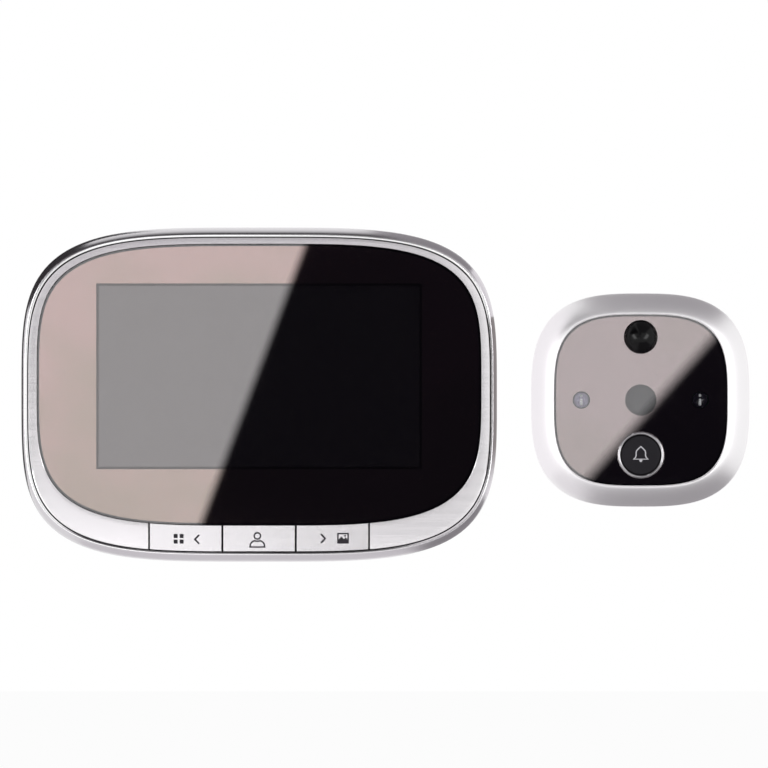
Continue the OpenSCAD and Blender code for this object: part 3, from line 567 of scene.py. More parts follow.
def stroke(points, width, z0, z1, unit=INDOOR, closed=False):
    """A line of even width through flat points, as a thin solid with mitred corners."""
    n = len(points)
    left, right = [], []
    for i, (x, y) in enumerate(points):
        near = points[i - 1] if i or closed else None
        far = points[(i + 1) % n] if i < n - 1 or closed else None
        normals = []
        for p, q in ((near, (x, y)), ((x, y), far)):
            if p and q:
                dx, dy = q[0] - p[0], q[1] - p[1]
                size = math.hypot(dx, dy)
                normals.append((-dy / size, dx / size))
        nx = sum(v[0] for v in normals) / len(normals)
        ny = sum(v[1] for v in normals) / len(normals)
        reach = width / 2 / max(0.2, nx * nx + ny * ny)
        left.append((x + nx * reach, y + ny * reach))
        right.append((x - nx * reach, y - ny * reach))
    if not closed:
        return prism(left + right[::-1], z0, z1, unit)
    made = [spot(x, y, z, unit) for side in (left, right) for z in (z0, z1) for x, y in side]
    faces = []
    for i in range(n):
        j = (i + 1) % n
        for a, b in ((0, n), (n, 3 * n), (3 * n, 2 * n), (2 * n, 0)):
            faces.append((a + i, a + j, b + j, b + i))
    return made, faces


def merged(*shells):
    """Several shells as one."""
    points, faces = [], []
    for more_points, more_faces in shells:
        start = len(points)
        points += more_points
        faces += [tuple(start + i for i in f) for f in more_faces]
    return points, faces


def raw_object(name, shell):
    """An object from points and faces, with its faces turned outwards."""
    mesh = bpy.data.meshes.new(name)
    mesh.from_pydata([tuple(p) for p in shell[0]], [], shell[1])
    bm = bmesh.new()
    bm.from_mesh(mesh)
    bmesh.ops.recalc_face_normals(bm, faces=bm.faces)
    bm.to_mesh(mesh)
    bm.free()
    obj = bpy.data.objects.new(name, mesh)
    bpy.context.scene.collection.objects.link(obj)
    return obj


def carved(obj, shell, material):
    """Cuts a shell out of an object, with its own finish on the cut faces."""
    cutter = raw_object("cutter", shell)
    cutter.data.materials.append(material)
    cut = obj.modifiers.new("cut", "BOOLEAN")
    cut.operation, cut.solver, cut.object = "DIFFERENCE", "EXACT", cutter
    cut.material_mode = "TRANSFER"
    keep_result(obj)
    bpy.data.objects.remove(cutter)


def keep_result(obj):
    """Turns an object's modifiers into its mesh."""
    seen = obj.evaluated_get(bpy.context.evaluated_depsgraph_get())
    mesh = bpy.data.meshes.new_from_object(seen)
    obj.modifiers.clear()
    obj.data = mesh


def settled(obj, material, body, stands_for=(), crease=30.0):
    """Gives a piece its finish, its smooth faces, its body and the solid it stands for."""
    if material:
        obj.data.materials.clear()
        obj.data.materials.append(material)
    obj.data.shade_smooth()
    obj.data.set_sharp_from_angle(angle=math.radians(crease))
    even = obj.modifiers.new("flat_faces", "WEIGHTED_NORMAL")
    even.weight, even.keep_sharp = 100, True
    keep_result(obj)
    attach(obj, body)
    if stands_for:
        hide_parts(*stands_for)
    return obj


SAME_POINT, SAME_PLANE = 0.002, 0.5


def copied(node, name):
    """A clean copy of a solid's mesh, with its flat faces whole again."""
    bm = bmesh.new()
    bm.from_mesh(solids[node].data)
    bmesh.ops.remove_doubles(bm, verts=bm.verts, dist=SAME_POINT * MM)
    flat = math.radians(SAME_PLANE)
    bmesh.ops.dissolve_limit(bm, angle_limit=flat, verts=bm.verts, edges=bm.edges)
    mesh = bpy.data.meshes.new(name)
    bm.to_mesh(mesh)
    bm.free()
    obj = bpy.data.objects.new(name, mesh)
    bpy.context.scene.collection.objects.link(obj)
    return obj


EASED_FROM = 35.0


def eased(obj, width):
    """Breaks an object's hard edges by a small rounded width."""
    bevel = obj.modifiers.new("edge", "BEVEL")
    bevel.width, bevel.segments = width * MM, 2
    bevel.limit_method, bevel.angle_limit = "ANGLE", math.radians(EASED_FROM)
    keep_result(obj)
    return obj


# ---------------------------------------------------------------- indoor housing

SILVER = finish("satin_silver", satin_metal((0.72, 0.7, 0.725), (0.64, 0.62, 0.645), 0.22, 0.1))
RIM_SILVER = finish("polished_rim", polished_metal((0.95, 0.945, 0.95), 0.1))
# Black painted shade for the recess round the plate, the groove, the key pocket, the key holes, the
# port openings and the inside, where the housing's silver would lie in shadow.
RECESS_SHADE = finish("recess_painted_shade", moulded((0.012, 0.011, 0.013), 0.6, 0.3, 0.01, gloss=0.15))

BODY_W, BODY_H, BODY_N = 70.0, 49.2, 3.9
SEAM_Z, SEAM_INSET, SEAM_ROUND = 10.4, 0.5, 2.0
SHOULDER_X, SHOULDER_Y, SHOULDER_H, SHOULDER_TOP = 1.15, 2.1, 5.2, 21.65
RIM_W, RIM_Z = 0.6, 21.74
RECESS = (68.25, 46.5, BODY_N)
OPENING = (65.45, 41.45, BODY_N, 2.94)
PLATE_SEAT, GLASS_SEAT, DECK = 20.4, 20.15, 18.6
DISPLAY_HOLE = (50.22, 29.63, 90.0, 5.4)
CAVITY = (67.6, 46.8, BODY_N)
SHOULDER_STEPS, SEAM_STEPS = 14, 5


def body_outline(inset_x, inset_y):
    return outline(BODY_W - inset_x, BODY_H - inset_y, BODY_N)


def housing_rings():
    """The housing's section, from the seam over the shoulder and rim to the inside."""
    rings = []
    for i in range(SEAM_STEPS + 1):
        t = math.pi / 2 * i / SEAM_STEPS
        inset = SEAM_INSET * (1 - math.sin(t))
        rings.append((body_outline(inset, inset), SEAM_Z + SEAM_ROUND * (1 - math.cos(t))))
    for i in range(SHOULDER_STEPS + 1):
        t = math.pi / 2 * i / SHOULDER_STEPS
        sink = 1 - math.cos(t)
        ring = body_outline(SHOULDER_X * sink, SHOULDER_Y * sink)
        rings.append((ring, SHOULDER_TOP - SHOULDER_H * (1 - math.sin(t))))
    rim_start = len(rings) - 1
    for share, lift in ((0.12, 0.85), (0.22, 1.0), (0.5, 0.65)):
        ring = body_outline(SHOULDER_X + RIM_W * share, SHOULDER_Y + RIM_W * share)
        rings.append((ring, SHOULDER_TOP + (RIM_Z - SHOULDER_TOP) * lift))
    rings.append((outline(*RECESS), SHOULDER_TOP))
    rim_end = len(rings) - 1
    rings.append((outline(*RECESS), PLATE_SEAT))
    rings.append((outline(*OPENING), PLATE_SEAT))
    rings.append((outline(*OPENING), GLASS_SEAT))
    rings.append((outline(*DISPLAY_HOLE), GLASS_SEAT))
    rings.append((outline(*DISPLAY_HOLE), DECK))
    rings.append((outline(*CAVITY), DECK))
    rings.append((outline(*CAVITY), SEAM_Z))
    return rings, rim_start, rim_end


KEY_PITCH, KEY_Y, KEY_ZONE = 21.6, -42.33, 65.1
KEY_FLOOR = 19.6
KEYS = {"key_menu": -1, "key_view": 0, "key_gallery": 1}


def key_pocket():
    """Space under the three keys, between the glass and the rim."""
    span = KEY_ZONE / 2
    outer = [(x, y + 0.03) for x, y in outline(*RECESS) if y < 0 and abs(x) < span]
    inner = [(x, y + 0.05) for x, y in outline(*OPENING) if y < 0 and abs(x) < span]

    def reach(edge):
        edge = sorted(edge)
        return [(-span, edge[0][1]), *edge, (span, edge[-1][1])]

    return prism(reach(outer) + reach(inner)[::-1], KEY_FLOOR, RIM_Z - 0.2)


POST_HOLE_R = 1.9
LEG_X, LEG_RISE, LEG_HOLE = 7.2, 0.3, (3.6, 2.2)
WALL_X, WALL_CUT = -69.0, 6.0
# Height up the wall, length, and the two depths of each opening
PORTS = {
    "charging": (2.0, 8.2, 13.1, 16.4),
    "card": (18.0, 11.8, 13.4, 15.3),
    "power": (-14.0, 4.4, 13.9, 16.3),
}


def disc(x, y, r):
    """Flat points round a circle."""
    return arc(x, y, r, 0, 345, 23)


def key_holes():
    """Holes for the posts and snap legs of the keys."""
    through = (DECK - 1, KEY_FLOOR + 0.3)
    shells = []
    for k in KEYS.values():
        x = k * KEY_PITCH
        shells.append(prism(disc(x, KEY_Y, POST_HOLE_R), *through))
        for side in (-1, 1):
            leg = oblong(x + side * LEG_X, KEY_Y + LEG_RISE, *LEG_HOLE)
            shells.append(prism(leg, *through))
    return merged(*shells)


def wall_ports():
    """Openings in the left wall for the charging port, the card and the power switch."""
    cuts = [prism(oblong(WALL_X, y, WALL_CUT, w), z0, z1) for y, w, z0, z1 in PORTS.values()]
    return merged(*cuts)


def indoor_housing():
    """Housing with a satin shoulder, a polished rim, and black painted shade on its recess, groove,
    cuts and inside.
    """
    rings, rim_start, rim_end = housing_rings()
    shell = raw_object("housing_shell", ring_loop(rings, INDOOR))
    around = 4 * QUARTER_POINTS
    # Faces from the rim's inner edge inwards get the painted recess shade.
    for face in shell.data.polygons:
        ring = face.index // around
        face.material_index = (ring >= rim_start) + (ring >= rim_end)
    for material in (SILVER, RIM_SILVER, RECESS_SHADE):
        shell.data.materials.append(material)
    # The cut faces of the key pocket, ports and key holes get the painted shade as well.
    carved(shell, merged(key_pocket(), wall_ports()), RECESS_SHADE)
    carved(shell, key_holes(), RECESS_SHADE)
    settled(shell, None, "monitor", ["mid_housing"], 32.0)


indoor_housing()

BLACK_BACK = finish("black_back_grain", moulded((0.016, 0.016, 0.018), 0.5, 0.45, 0.03))
tray = copied("rear_cover", "back_tray")
settled(tray, BLACK_BACK, "monitor", ["rear_cover"], 32.0)


# ---------------------------------------------------------------- front plate and keys

PLATE = finish("brushed_plate", brushed_metal((0.85, 0.832, 0.846), (0.77, 0.753, 0.77), 0.24))
KEY_METAL = finish("brushed_keys", brushed_metal((0.85, 0.836, 0.846), (0.795, 0.782, 0.795), 0.22))
EDGE_BREAK = 0.05
PRINT_T = 0.02
KEY_EASE = 0.987

FACE_Z = 22.0
PLATE_OUT = (67.9, 46.15, BODY_N, 0.0)
CROWN = 0.1
CROWN_STEPS = 6
KEY_CUT_Y, KEY_CUT_H, KEY_CUT_PLAY = -48.0, 40.0, 0.15


def front_plate():
    """Brushed plate round the glass: its face falls away a little towards the rim."""
    edge = FACE_Z - CROWN - EDGE_BREAK
    rings = [(outline(*PLATE_OUT), PLATE_SEAT), (outline(*PLATE_OUT), edge)]
    for i in range(CROWN_STEPS + 1):
        share = 0.03 + 0.94 * i / CROWN_STEPS
        between = (a + (b - a) * share for a, b in zip(PLATE_OUT, OPENING))
        rings.append((outline(*between), FACE_Z - CROWN * (1 - share) ** 2))
    rings += [(outline(*OPENING), FACE_Z - 0.06), (outline(*OPENING), PLATE_SEAT)]
    plate = raw_object("front_plate", ring_loop(rings, INDOOR))
    gap = oblong(0.0, KEY_CUT_Y, KEY_ZONE + KEY_CUT_PLAY, KEY_CUT_H)
    carved(plate, prism(gap, PLATE_SEAT - 1, FACE_Z + 1), PLATE)
    settled(plate, PLATE, "monitor", ["front_bezel"], 25.0)


front_plate()
for key in KEYS:
    cap = eased(copied(key, key + "_cap"), EDGE_BREAK)
    middle = KEYS[key] * KEY_PITCH * MM
    for vertex in cap.data.vertices:
        vertex.co.x = middle + (vertex.co.x - middle) * KEY_EASE
        vertex.co.y = max(vertex.co.y, -(FACE_Z - PRINT_T) * MM)
        vertex.co.z = KEY_Y * MM + (vertex.co.z - KEY_Y * MM) * KEY_EASE
    settled(cap, KEY_METAL, key, [key], 20.0)

DARK_INK = finish("dark_key_ink", printed((0.022, 0.019, 0.024)))
INK_Z = (FACE_Z - 3 * PRINT_T, FACE_Z)
ARROW_LINE, FIGURE_LINE, FRAME_LINE = 0.52, 0.45, 0.42


def key_mark(key, *shells):
    """A print that moves with its key."""
    mark = raw_object(key + "_print", merged(*shells))
    settled(mark, DARK_INK, key, crease=20.0)


def menu_print():
    """Four squares and a back arrow."""
    x, y = KEYS["key_menu"] * KEY_PITCH, KEY_Y
    squares = [
        prism(oblong(x - 2.05 + sx * 0.88, y + sy, 1.18, 1.2), *INK_Z)
        for sx in (-1, 1)
        for sy in (0.76, -0.89)
    ]
    tip = [(x + 3.98, y + 1.1), (x + 2.72, y - 0.22), (x + 3.98, y - 1.55)]
    arrow = stroke(tip, ARROW_LINE, *INK_Z)
    key_mark("key_menu", *squares, arrow)


def view_print():
    """A head and shoulders."""
    x, y = -0.5, KEY_Y - 0.37
    head = stroke(arc(x, y + 1.14, 0.92, 0, 350, 35), FIGURE_LINE, *INK_Z, closed=True)
    half = [(0.35, -0.42), (0.78, -0.25), (1.2, -0.42), (1.75, -0.8), (2.05, -1.3), (2.16, -2.12)]
    line = [(-px, py) for px, py in half[::-1]] + half
    line = [(x + px, y + py) for px, py in line]
    shoulders = stroke(line, FIGURE_LINE, *INK_Z, closed=True)
    key_mark("key_view", head, shoulders)


def gallery_print():
    """A forward arrow and a framed picture of hills."""
    x, y = KEYS["key_gallery"] * KEY_PITCH, KEY_Y
    tip = [(x - 3.4, y + 1.35), (x - 2.15, y + 0.02), (x - 3.4, y - 1.3)]
    arrow = stroke(tip, ARROW_LINE, *INK_Z)
    px, py = x + 3.1, y + 0.1
    border = stroke(oblong(px, py, 3.0, 2.75), FRAME_LINE, *INK_Z, closed=True)
    hills = [(-1.3, -1.17), (1.3, -1.17), (1.3, -0.35), (0.75, 0.25)]
    hills += [(0.25, -0.3), (-0.5, 0.5), (-1.3, -0.4)]
    land = prism([(px + hx, py + hy) for hx, hy in hills], *INK_Z)
    sun = prism(disc(px + 0.62, py + 0.72, 0.27), *INK_Z)
    key_mark("key_gallery", arrow, border, land, sun)


menu_print()
view_print()
gallery_print()


# ---------------------------------------------------------------- outdoor rim

RIM_SATIN = finish("satin_rim", satin_metal((0.96, 0.945, 0.955), (0.88, 0.865, 0.88), 0.42, 0.1))
CHEEK_OUT = (32.2, 31.45, 3.0)
CHEEK_IN = (25.7, 25.35, 3.3)
CHEEK_FOOT, CHEEK_TOP, CHEEK_SWEEP = 5.0, 15.3, 78.0
CHEEK_STEPS = 18
CHEEK_WALL = 1.8
LIP_SHARE = 1 - 0.35 / 6.5
PANEL_SEAT, LEDGE, LEDGE_W = 13.45, 12.1, 0.95
# Inset and depth along the foot's edge, then share of the lean and depth inside
FOOT_EDGE = ((0.4, 1.0), (0.08, 1.35), (0.0, 1.8))
HOLLOW = ((0.45, LEDGE), (0.18, 9.26), (0.0, CHEEK_FOOT), (0.0, 1.0))


def cheek_outline(share, inset=0.0):
    """Outline between the rim's foot, at 0, and the hole of the panel, at 1."""
    w, h, n = (a + (b - a) * share for a, b in zip(CHEEK_OUT, CHEEK_IN))
    return outline(w - inset, h - inset, n)


def outdoor_rim():
    """Domed rim with a fine lip round the panel, a ledge behind it and a hollow back."""
    sweep = math.radians(CHEEK_SWEEP)
    rings = [(cheek_outline(0, inset), z) for inset, z in FOOT_EDGE]
    for i in range(CHEEK_STEPS + 1):
        t = sweep * i / CHEEK_STEPS
        share = LIP_SHARE * (1 - math.cos(t)) / (1 - math.cos(sweep))
        z = CHEEK_FOOT + (CHEEK_TOP - CHEEK_FOOT) * math.sin(t) / math.sin(sweep)
        rings.append((cheek_outline(share), z))
    rings.append((cheek_outline(0.985), CHEEK_TOP - 0.04))
    rings.append((outline(*CHEEK_IN), CHEEK_TOP - 0.15))
    rings.append((outline(*CHEEK_IN), PANEL_SEAT))
    ledge = outline(CHEEK_IN[0] - LEDGE_W, CHEEK_IN[1] - LEDGE_W, CHEEK_IN[2])
    rings.append((ledge, PANEL_SEAT))
    rings.append((ledge, LEDGE))
    rings += [(cheek_outline(share, CHEEK_WALL), z) for share, z in HOLLOW]
    rim = raw_object("outdoor_rim", ring_loop(rings, OUTDOOR))
    settled(rim, RIM_SATIN, "door_side", ["camera_rim"], 40.0)


outdoor_rim()


# ---------------------------------------------------------------- outdoor front details

PANEL_FACE = 15.0
PIR_Y, PIR_R, PIR_H, PIR_WALL = 18.6, 4.9, 3.0, 0.7
DOME_FOOT, RING_FOOT, FLANGE_W = 0.9, 0.6, 0.4
LED_X, LED_R, LED_FOOT, LED_COLLAR, LED_GAP = 17.5, 2.5, 8.4, 1.0, 0.35
CUP_R, CUP_FOOT, CUP_RISE = 2.3, 1.4, 0.35
CHIP_RISE, WIRE_Y, WIRE_SIZE, WIRE_T = 0.3, -0.55, (0.34, 1.5), 0.2
# Height, radius and swell of the beads on a chip
CHIPS = ((1.4, 0.44, 0.3), (0.05, 0.42, 0.36), (-0.68, 0.5, 0.36), (-1.2, 0.46, 0.34))
BELL_Y, BELL_R, BELL_BORE, RING_R, RING_H = -16.2, 5.75, 5.95, 6.9, 0.7
CAP_SINK, CAP_PLAY, CAP_FLANGE, CAP_EDGE, CAP_DISH, POST_R = 0.25, 0.25, 0.6, 0.3, 0.2, 1.8
BELL_LINE, CLAPPER_Y, CLAPPER_R = 0.33, -1.36, (0.48, 0.72)


def motion_dome():
    """Hollow black dome with a flange behind the panel."""
    round_r = (PIR_R**2 + PIR_H**2) / (2 * PIR_H)
    lean = math.degrees(math.asin(PIR_R / round_r))
    middle = PANEL_FACE + PIR_H - round_r
    inner_r = round_r - PIR_WALL
    inner_lean = math.degrees(math.asin((PIR_R - PIR_WALL) / inner_r))
    foot, brim = PANEL_SEAT - DOME_FOOT, PIR_R + FLANGE_W
    profile = [(PIR_R - PIR_WALL, foot), (brim, foot), (brim, PANEL_SEAT), (PIR_R, PANEL_SEAT)]
    profile += arc(0, middle, round_r, 90 - lean, 90, 24)[:-1] + [(0.0, PANEL_FACE + PIR_H)]
    profile += [(0.0, middle + inner_r)] + arc(0, middle, inner_r, 90, 90 - inner_lean, 16)[1:]
    dome = raw_object("motion_dome", lathe(profile, (0, PIR_Y)))
    skin = finish("dome_gloss", gloss_black((0.002, 0.0018, 0.0022), 0.19, 0.16))
    settled(dome, skin, "door_side", ["pir_lens"], 40.0)


def bell_ring():
    """Polished ring with a round bead."""
    bead = (RING_R - BELL_BORE) / 2
    neck, foot = BELL_BORE + FLANGE_W, PANEL_SEAT - RING_FOOT
    profile = [(BELL_BORE, foot), (neck, foot), (neck, PANEL_FACE), (RING_R, PANEL_FACE)]
    profile += arc(RING_R - bead, PANEL_FACE + RING_H - bead, bead, 0, 180, 18)
    ring = raw_object("bell_bright_ring", lathe(profile, (0, BELL_Y)))
    chrome = finish("bright_plating", polished_metal((0.42, 0.41, 0.425), 0.1))
    settled(ring, chrome, "door_side", ["bell_ring"], 50.0)


def bell_cap():
    """Dished cap with its flange and post, and a bell printed on it."""
    face = PANEL_FACE + RING_H - CAP_SINK
    _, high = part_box("bell_button")
    post_foot = -high.y / MM
    flange = PANEL_SEAT - RING_FOOT - CAP_PLAY - CAP_FLANGE
    neck, shelf = BELL_BORE + FLANGE_W, flange + CAP_FLANGE
    profile = [(0.0, post_foot), (POST_R, post_foot), (POST_R, flange)]
    profile += [(neck, flange), (neck, shelf), (BELL_R, shelf), (BELL_R, face - CAP_EDGE)]
    profile += arc(BELL_R - CAP_EDGE, face - CAP_EDGE, CAP_EDGE, 0, 90, 5)[1:]
    profile += [(BELL_R * f, face - CAP_DISH * (1 - f * f)) for f in (0.8, 0.6, 0.4, 0.2)]
    profile += [(0.0, face - CAP_DISH)]
    cap = raw_object("bell_cap", lathe(profile, (0, BELL_Y)))
    satin = finish("bell_cap_satin", bell_cap_skin)
    settled(cap, satin, "bell_button", ["bell_button"], 40.0)
    z = (face - 0.26, face - 0.15)
    half = [(0.0, 2.5), (0.62, 1.95), (1.28, 1.24), (1.4, 0.6)]
    half += [(1.36, -0.1), (1.62, -0.75), (2.1, -1.2)]
    edge = half + [(-x, y) for x, y in half[:0:-1]]
    at_cap = [(x, y + BELL_Y) for x, y in edge]
    body = stroke(at_cap, BELL_LINE, *z, unit=OUTDOOR, closed=True)
    wide, deep = CLAPPER_R
    turns = [math.pi + math.pi * i / 12 for i in range(13)]
    clapper = [(wide * math.cos(a), BELL_Y + CLAPPER_Y + deep * math.sin(a)) for a in turns]
    bell = raw_object("bell_print", merged(body, prism(clapper, *z, OUTDOOR)))
    pale = finish("pale_bell_ink", printed((0.5, 0.49, 0.52)))
    settled(bell, pale, "bell_button", crease=20.0)


def night_lights():
    """Clear domes over small reflector cups, each with its chips and bond wire."""
    top = PANEL_SEAT - LED_GAP
    shoulder, brim, collar = top - LED_R, LED_R + FLANGE_W, LED_FOOT + LED_COLLAR
    cup_foot, cup_top, chip_z = LED_FOOT + CUP_FOOT, shoulder + CUP_RISE, shoulder + CHIP_RISE
    domes, cups, chips = [], [], []
    for side in (-1, 1):
        at = (side * LED_X, 0.0)
        profile = [(0.0, LED_FOOT), (brim, LED_FOOT), (brim, collar), (LED_R, collar)]
        profile += arc(0, shoulder, LED_R, 0, 90, 16)[:-1] + [(0.0, top)]
        domes.append(lathe(profile, at, turns=64))
        cup = [(0.0, cup_foot), (CUP_R, cup_foot), (CUP_R, cup_top), (0.0, cup_top)]
        cups.append(lathe(cup, at, turns=64))
        for y, r, h in CHIPS:
            bead = [(0.0, chip_z)] + arc(0, chip_z, r, 0, 80, 6) + [(0.0, chip_z + r)]
            bead = [(q, chip_z + (w - chip_z) * h / r) for q, w in bead]
            chips.append(lathe(bead, (at[0], y), turns=20))
        wire = oblong(at[0], WIRE_Y, *WIRE_SIZE)
        chips.append(prism(wire, chip_z, chip_z + WIRE_T, OUTDOOR))
    clear = finish("clear_epoxy", cover_pane(0.012))
    dark = finish("cup_steps", led_cup_skin)
    phosphor = moulded((0.8, 0.81, 0.83), 0.4, 0.1, 0.004, gloss=0.8, warp=0.06)
    bright = finish("chip_phosphor", phosphor)
    for name, shells, skin, stands_for, crease in (
        ("night_light_domes", domes, clear, ["night_leds"], 40.0),
        ("night_light_cups", cups, dark, (), 30.0),
        ("night_light_chips", chips, bright, (), 50.0),
    ):
        lamp = raw_object(name, merged(*shells))
        settled(lamp, skin, "door_side", stands_for, crease)


motion_dome()
bell_ring()
bell_cap()
night_lights()


# ---------------------------------------------------------------- glass, films and display

CLEAR = 0.092
GLUE = 0.03
# Both films carry the painted reflection gradient and the painted edge shade, 0.55 mm wide indoors
# and 0.58 mm outdoors.
ROSE_MIRROR = half_mirror((0.51, 0.36, 0.34), (0.415, 0.327, 0.28), 65.3, 41.3, BODY_N, (0.0, 2.94))
STRAW, STRAW_LOW = (0.385, 0.312, 0.315), (0.36, 0.297, 0.29)
STRAW_MIRROR = half_mirror(STRAW, STRAW_LOW, 25.55, 25.2, 3.3, OUTDOOR, 0.58)
FLAT_PIECES = (
    ("front_glass", "front_pane", cover_pane(CLEAR), "monitor", "cover_glass", 0.0),
    ("mirror_film", "screen_film", ROSE_MIRROR, "monitor", "mirror_film", GLUE),
    ("lcd_panel", "display", display_face(47.52, 26.93, 5.4), "monitor", "display_glass", GLUE),
    ("camera_panel", "outdoor_pane", cover_pane(CLEAR), "door_side", "panel_glass", 0.0),
    ("panel_film", "outdoor_film", STRAW_MIRROR, "door_side", "mirror_film", GLUE),
    ("lens_window", "smoked_disc", smoked_disc_skin, "door_side", "window_glass", GLUE),
)
for node, name, paint, body, slot, behind in FLAT_PIECES:
    flat = copied(node, name)
    front = min(v.co.y for v in flat.data.vertices) + behind * MM
    for vertex in flat.data.vertices:
        vertex.co.y = max(vertex.co.y, front)
    settled(flat, finish(name + "_skin", paint), body, [node], 20.0)


# ---------------------------------------------------------------- door bracket

ROLLED = brushed_metal((0.62, 0.62, 0.63), (0.5, 0.5, 0.51), 0.34, (0.05, 3.0, 3.0))
STEEL = finish("rolled_steel", ROLLED)
BRACKET_EDGE = 0.15
hooks = eased(copied("door_bracket", "hook_bracket"), BRACKET_EDGE)
settled(hooks, STEEL, "door_side", ["door_bracket"], 25.0)


# ---------------------------------------------------------------- finishes of the other solids

GREEN_BOARD = finish("green_board", circuit_board)
BLACK_SWITCH = finish("switch_black", moulded((0.02, 0.02, 0.021), 0.45, 0.25, 0.01))
DRAWN = brushed_metal((0.72, 0.72, 0.73), (0.6, 0.6, 0.61), 0.28, (0.4, 3.0, 3.0))
SOCKET_SHELL = finish("socket_shell", DRAWN)
BARREL_BLACK = finish("barrel_black", moulded((0.012, 0.012, 0.013), 0.42, 0.2, 0.008))
SCREW_STEEL = finish("screw_zinc", satin_metal((0.66, 0.66, 0.68), (0.52, 0.52, 0.54), 0.32, 0.15))
BRASS = finish("insert_brass", satin_metal((0.78, 0.6, 0.3), (0.66, 0.48, 0.22), 0.3, 0.12))
KNOB = finish("knob_black", moulded((0.03, 0.03, 0.032), 0.5, 0.3, 0.02))
STEM = finish("stem_plastic", moulded((0.05, 0.05, 0.052), 0.5, 0.3, 0.01))
CREAM = finish("header_nylon", moulded((0.72, 0.7, 0.6), 0.5, 0.3, 0.01, warp=0.06))
RUBBER = finish("grommet_rubber", moulded((0.014, 0.014, 0.014), 0.65, 0.5, 0.03, gloss=0.3))
TRAY = finish("outdoor_tray", moulded((0.018, 0.018, 0.02), 0.5, 0.45, 0.03))
CONE = finish("speaker_cone", moulded((0.03, 0.03, 0.033), 0.6, 0.6, 0.05))

SCREW_HEAD, SCREW_SHANK, SCREW_POINT, HEAD_H = 2.0, 1.0, 0.5, 2.0
# Radius and depth from the middle of a screw's head to its side
HEAD_CURVE = ((0.0, 0.0), (1.2, 0.02), (1.65, 0.16), (1.9, 0.42), (SCREW_HEAD, 0.8))
CROSS_W, CROSS_L, CROSS_DEEP = 0.3, 1.15, 0.8


def case_screws():
    """Four pan-head screws with cross recesses, sunk in the back of the tray."""
    low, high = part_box("case_screws")
    back, tip = -high.y / MM, -low.y / MM
    a, b = CROSS_W, CROSS_L
    cross = [(b, a), (a, a), (a, b), (-a, b), (-a, a), (-b, a)]
    cross += [(-x, -y) for x, y in cross]
    profile = [(r, back + z) for r, z in HEAD_CURVE]
    profile += [(SCREW_HEAD, back + HEAD_H), (SCREW_SHANK, back + HEAD_H)]
    profile += [(SCREW_SHANK, tip - SCREW_POINT), (SCREW_POINT, tip), (0.0, tip)]
    screws, crosses = [], []
    for x in (low.x / MM + SCREW_HEAD, high.x / MM - SCREW_HEAD):
        for y in (low.z / MM + SCREW_HEAD, high.z / MM - SCREW_HEAD):
            screws.append(lathe(profile, (x, y), INDOOR, 48))
            slot = [(x + px, y + py) for px, py in cross]
            crosses.append(prism(slot, back - 0.5, back + CROSS_DEEP))
    heads = raw_object("case_screw_set", merged(*screws))
    carved(heads, merged(*crosses), SCREW_STEEL)
    settled(heads, SCREW_STEEL, "monitor", ["case_screws"], 28.0)


case_screws()
NODE_FINISHES = {
    "lcd_backlight": finish("light_guide_white", light_guide),
    "lcd_frame": STEEL,
    "main_board": GREEN_BOARD,
    "camera_board": GREEN_BOARD,
    "key_switches": BLACK_SWITCH,
    "bell_switch": BLACK_SWITCH,
    "cable_socket": CREAM,
    "usb_socket": SOCKET_SHELL,
    "card_socket": SOCKET_SHELL,
    "power_switch_body": BLACK_SWITCH,
    "battery_pack": finish("battery_sleeve_blue", battery_sleeve),
    "speaker": CONE,
    "camera_screws": SCREW_STEEL,
    "key_menu_stem": STEM,
    "key_view_stem": STEM,
    "key_gallery_stem": STEM,
    "bell_stem": STEM,
    "power_knob": KNOB,
    "pir_sensor": SOCKET_SHELL,
    "lens_holder": BARREL_BLACK,
    "lens_barrel": BARREL_BLACK,
    "lens_glass": finish("coated_lens", gloss_black((0.01, 0.012, 0.03), 0.9, 0.02, 0.6)),
    "image_sensor": finish("sensor_die", sensor_chip),
    "board_header": CREAM,
    "camera_back_plate": TRAY,
    "cable_grommet": RUBBER,
    "threaded_inserts": BRASS,
    "door_gasket": finish("gasket_foam", gasket_foam),
}
for node, material in NODE_FINISHES.items():
    solids[node].data.materials.clear()
    solids[node].data.materials.append(material)


# ---------------------------------------------------------------- camera, light and stage

VIEW_WIDTH, VIEW_DISTANCE, SENSOR = 0.2259, 5.0, 36.0
VIEW_X, VIEW_Z = 0.03675, 0.00313
CAMERA_AT = Vector((VIEW_X, -VIEW_DISTANCE - FACE_Z * MM, VIEW_Z))
AMBIENT = 0.5
WHITE = (1.0, 1.0, 1.0, 1.0)
NIGHT, DIM = (0.009, 0.0078, 0.0118), (0.04, 0.037, 0.04)
RIM_GREY = ((0.335, 0.32, 0.335), (0.31, 0.297, 0.31))
FLOOR_Z, FLOOR_REACH, FLOOR_GLOW = -0.16, 4, 0.95


def camera():
    """Straight view of the fronts, from far away."""
    lens = bpy.data.cameras.new("front_view")
    lens.sensor_width = SENSOR
    lens.lens = SENSOR * VIEW_DISTANCE / VIEW_WIDTH
    lens.clip_start, lens.clip_end = 0.05, 50.0
    eye = bpy.data.objects.new("front_view", lens)
    eye.location = CAMERA_AT
    eye.rotation_euler = (math.pi / 2, 0.0, 0.0)
    bpy.context.scene.collection.objects.link(eye)
    bpy.context.scene.camera = eye


def side_card(x, y0, y1, z0, z1):
    return [(x, y0, z0), (x, y1, z0), (x, y1, z1), (x, y0, z1)]


def level_card(x0, x1, y0, y1, z):
    return [(x0, y0, z), (x1, y0, z), (x1, y1, z), (x0, y1, z)]


def upright_card(x0, x1, z0, z1, y):
    return [(x0, y, z0), (x1, y, z0), (x1, y, z1), (x0, y, z1)]


